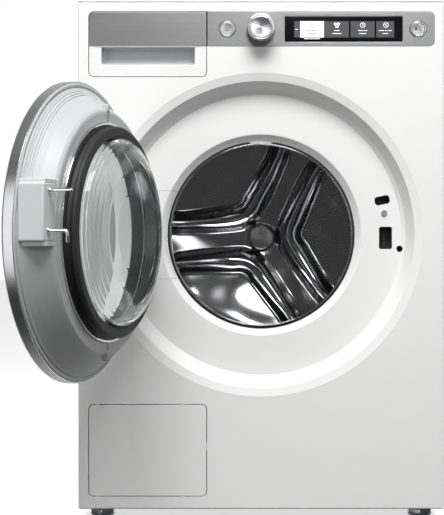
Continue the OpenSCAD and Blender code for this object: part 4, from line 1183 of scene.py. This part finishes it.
# %% Clamp ring, gasket and bowl
clamp = door_turned("door_clamp_band", [(160.8, 56), (164.6, 56), (164.6, 62.0, 0.8),
                                        (160.8, 62.0, 0.8)])
hand_over(clamp, "door", RIM_STEEL, "door_clamp_ring", slot="polished_steel")
gasket = door_turned("door_rubber_gasket", [
    (160.4, 56.3), (160.4, 62.4, 0.6), (155.5, 63.4, 1), (153, 66, 1.5), (153, 70, 1.5),
    (158.6, 72.8, 1.2), (158.6, 76.3, 1.5), (155.6, 79, 2), (144.4, 79, 1.2), (142.4, 77, 0.8),
    (142.4, 60.7), (150.7, 60.7), (150.7, 56.3)])
hand_over(gasket, "door", RUBBER, "door_gasket", slot="rubber_black")
BOWL_OUTSIDE = [(150.2, 56.4, 0.3), (150.2, 60.1, 0.8), (141.8, 60.1), (141.0, 80, 3),
                (139.8, 85.5, 4), (136.6, 89.4, 5), (131, 92.8, 8), (123, 95.9, 12),
                (112, 98.3, 20), (90, 101, 40), (60, 102.8, 60), (0, 103.5)]
BOWL_INSIDE = [(0, 99), (60, 98.3, 60), (90, 96.6, 40), (110, 94, 20), (121, 91.3, 12),
               (129, 88.0, 6), (133.6, 84.6, 4), (136.2, 80, 3), (137, 56.4)]
bowl = door_turned("door_bowl", BOWL_OUTSIDE + BOWL_INSIDE, sharp=70)
hand_over(bowl, "door", CLEAR_GLASS, "door_glass_bowl", slot="clear_glass")

# %% Latch cover and hooks
def frame_tool(name):
    """The moulded frame's outer side as a solid, to seat other pieces on it."""
    section = [(0, 0), *FRAME_OUTSIDE, (150, 58.2), (0, 58.2)]
    return turned(name, behind_face(section), STEPS)


def latch_piece(name, x0, x1, y0, y1, z0, z1, bevel):
    """A block above the moulded frame: whatever lies inside the frame is cut away."""
    block = crate(name, x0, x1, DOOR_FACE + y0, DOOR_FACE + y1, DRUM_Z + z0, DRUM_Z + z1, bevel, 4)
    return cut(block, frame_tool("frame_tool"), sharp=60)


cover_box = latch_piece("latch_box", 180, 217, 17.2, 58, -15.5, 67.5, 3.2)
seat = latch_piece("latch_seat", 172, 211, 16.8, 57.4, -22, 73, 1.4)
print("latch box", len(cover_box.data.polygons), "seat", len(seat.data.polygons))
latch = open_door(joined("latch_cover_shell", cover_box, seat))
hand_over(latch, "door", LATCH_SATIN, "latch_cover", slot="satin_cover")


def hooked_rod(x, z_top, z_tip, y0, y1, radius, bend):
    """A round rod: a circle pushed back along the door's depth, spun round a bend, pushed down."""
    bm = bmesh.new()
    bmesh.ops.create_circle(bm, segments=24, radius=radius * MM)
    bmesh.ops.rotate(bm, verts=bm.verts, cent=(0, 0, 0),
                     matrix=Matrix.Rotation(math.pi / 2, 3, "X"))
    bmesh.ops.translate(bm, verts=bm.verts, vec=at(x, y0, z_top))

    def open_end(geom):
        return [g for g in geom if isinstance(g, bmesh.types.BMEdge) and g.is_boundary]

    def push(edges, step):
        out = bmesh.ops.extrude_edge_only(bm, edges=edges)["geom"]
        moved = [g for g in out if isinstance(g, bmesh.types.BMVert)]
        bmesh.ops.translate(bm, verts=moved, vec=step)
        return open_end(out)

    end = push(list(bm.edges), (0, (y1 - bend - y0) * MM, 0))
    ring_verts = list({v for e in end for v in e.verts})
    spun = bmesh.ops.spin(bm, geom=ring_verts + end, cent=at(x, y1 - bend, z_top - bend),
                          axis=(-1, 0, 0), angle=math.pi / 2, steps=8)
    push(open_end(spun["geom_last"]), (0, 0, (z_tip - z_top + bend) * MM))
    bmesh.ops.holes_fill(bm, edges=open_end(bm.edges))
    tip = [e for e in bm.edges if all(abs(v.co.z - z_tip * MM) < 1e-6 for v in e.verts)]
    bmesh.ops.bevel(bm, geom=tip, offset=0.7 * radius * MM, segments=4, profile=0.5,
                    affect="EDGES", material=-1)
    return open_door(finish_mesh(bm, "hooked_rod", 50))


def collar(x, z, r):
    """A small ring where a rod leaves the latch cover."""
    section = [(r, 7.6), (r + 2.4, 7.6, 0.6), (r + 2.4, 10.2, 0.6), (r, 10.2)]
    return open_door(post("collar", x, z, section, 32))


UPPER_ROD = (198.7, DRUM_Z + 56.6)
LOWER_ROD = (203, DRUM_Z + 0.5)
upper = open_door(post("upper_rod", *UPPER_ROD, [(0, 2), (2.3, 2), (2.3, 44, 1.7), (0, 44)], 32))
lower = hooked_rod(*LOWER_ROD, DRUM_Z - 17, 2, 38, radius=2.7, bend=6.1)
collars = [collar(*UPPER_ROD, 2.2), collar(*LOWER_ROD, 2.6)]
hooks = joined("latch_rods", upper, lower, *collars)
hand_over(hooks, "door", RIM_STEEL, "latch_hooks", slot="polished_steel")

# %% [markdown]
# ## Finishes for the parts that keep their designed shape
# The inner works keep their designed meshes. They show from behind, through the mouth or with a
# panel off, and each gets a finish from the same family as the pieces in front.

# %% Material of each remaining node
KEPT = {
    ZINC: ["upper_crossbars", "hinge_bracket", "hinge_pin", "fasteners", "hinge_leaf", "heater",
           "damper_rods", "bearings", "motor_pulley", "suspension_springs", "back_panel"],
    GREY_PLASTIC_AND_PAINTED_SHADE: ["inlet_valve", "knob_plunger", "filter_cap"],
    TUB_PLASTIC: ["dispenser_housing", "drain_pump", "tub_front", "tub_rear", "base_pan"],
    BLACK_PLASTIC: ["door_lock", "damper_cylinders", "mains_inlet"],
    RUBBER: ["tub_bellows", "rubber_hoses", "drive_belt"],
    DARK_RUBBER: ["drain_pipe"],
    BOARD: ["control_board"],
    WHITE_PLASTIC: ["drawer_tray"],
    CAST_IRON: ["counterweights", "motor"],
    ALUMINIUM: ["drum_spider", "drum_pulley"],
}
for material, names in KEPT.items():
    for name in names:
        NODES[name].data.materials.clear()
        NODES[name].data.materials.append(material)
print("finished", sum(len(names) for names in KEPT.values()), "kept nodes")

# %% [markdown]
# ## Floor, light and camera
# A pale floor that glows a little, one large softbox overhead, and three smaller ones in front: a
# key light, and a card to each side for the metal to mirror. Steel shows the room as much as it
# shows itself, so the surround is bright to the lens but dim to every reflection.

# %% Stage
scene = bpy.context.scene
scene.view_settings.view_transform = "Standard"
scene.view_settings.look = "None"

floor_mesh = bpy.data.meshes.new("studio_floor")
bm = bmesh.new()
bmesh.ops.create_grid(bm, x_segments=4, y_segments=4, size=30)
bm.to_mesh(floor_mesh)
bm.free()
floor = bpy.data.objects.new("studio_floor", floor_mesh)
scene.collection.objects.link(floor)
floor.visible_glossy = False
floor.visible_diffuse = False
floor_mesh.materials.append(grained("studio_floor_paint", (0.90, 0.90, 0.90), (0.93, 0.93, 0.93),
                                    0.75, 90, 0.8, 0.02, 0.0001, glow=0.6))
print("floor laid")

# %% Surround
# The lens, and what it sees through glass, get a white surround. The object itself is lit and
# mirrored by a dark room whose rear half is lighter, so that the soft lights are what its metal
# shows in front, and its back isn't lost in the dark.
ROOM_MIRRORED, ROOM_DIFFUSE, ROOM_REAR = 0.06, 0.04, 0.6
world = bpy.data.worlds.new("studio")
scene.world = world
world.use_nodes = True
tree = world.node_tree
back = tree.nodes["Background"]
back.inputs["Color"].default_value = (1, 1, 1, 1)
path = tree.nodes.new("ShaderNodeLightPath")
towards = tree.nodes.new("ShaderNodeSeparateXYZ")
tree.links.new(tree.nodes.new("ShaderNodeTexCoord").outputs["Generated"], towards.inputs[0])
seen = math_node(tree, "MAXIMUM", path.outputs["Is Camera Ray"],
                 path.outputs["Is Transmission Ray"])
rearward = math_node(tree, "MAXIMUM", towards.outputs["Y"], 0.0)
behind = math_node(tree, "MULTIPLY", rearward, ROOM_REAR)
room = math_node(tree, "MULTIPLY_ADD", path.outputs["Is Diffuse Ray"], ROOM_DIFFUSE, ROOM_MIRRORED)
tree.links.new(math_node(tree, "MAXIMUM", seen, math_node(tree, "ADD", room, behind)),
               back.inputs["Strength"])
print("surround set")


# %% Lights
def soft_light(name, spot, aim, width, height, radiance):
    """A rectangular softbox. Radiance is how bright its face looks, whatever its size."""
    data = bpy.data.lights.new(name, "AREA")
    data.shape = "RECTANGLE"
    data.size, data.size_y = width, height
    data.energy = radiance * math.pi * width * height
    lamp = bpy.data.objects.new(name, data)
    lamp.location = spot
    lamp.rotation_euler = (Vector(aim) - Vector(spot)).to_track_quat("-Z", "Y").to_euler()
    scene.collection.objects.link(lamp)
    print("lamp", name, round(data.energy, 1), "W")


soft_light("overhead", (0.1, -1.9, 3.3), (0, 0, 0.5), 2.4, 1.5, 14.5)
soft_light("key", (0.22, -3.0, 1.6), (0, 0, 0.5), 0.5, 0.4, 9.0)
soft_light("left_card", (-1.95, -2.25, 0.55), (-0.3, -0.2, 0.55), 0.7, 3.1, 2.1)
soft_light("right_card", (1.55, -2.7, 1.2), (0.2, 0, 0.8), 0.9, 1.3, 2.2)

# %% Camera
camera = bpy.data.objects.new("camera", bpy.data.cameras.new("camera"))
scene.collection.objects.link(camera)
DISTANCE, EYE_HEIGHT = 2.8, 0.4312
camera.location = (MIDDLE_X, FACE_Y - DISTANCE, EYE_HEIGHT)
camera.rotation_euler = (math.radians(90), 0, 0)
camera.data.lens = 120.3
camera.data.sensor_width = 36
camera.data.shift_x = -0.0759
scene.camera = camera
print("camera", DISTANCE, "m in front, lens", round(camera.data.lens, 1), "mm")
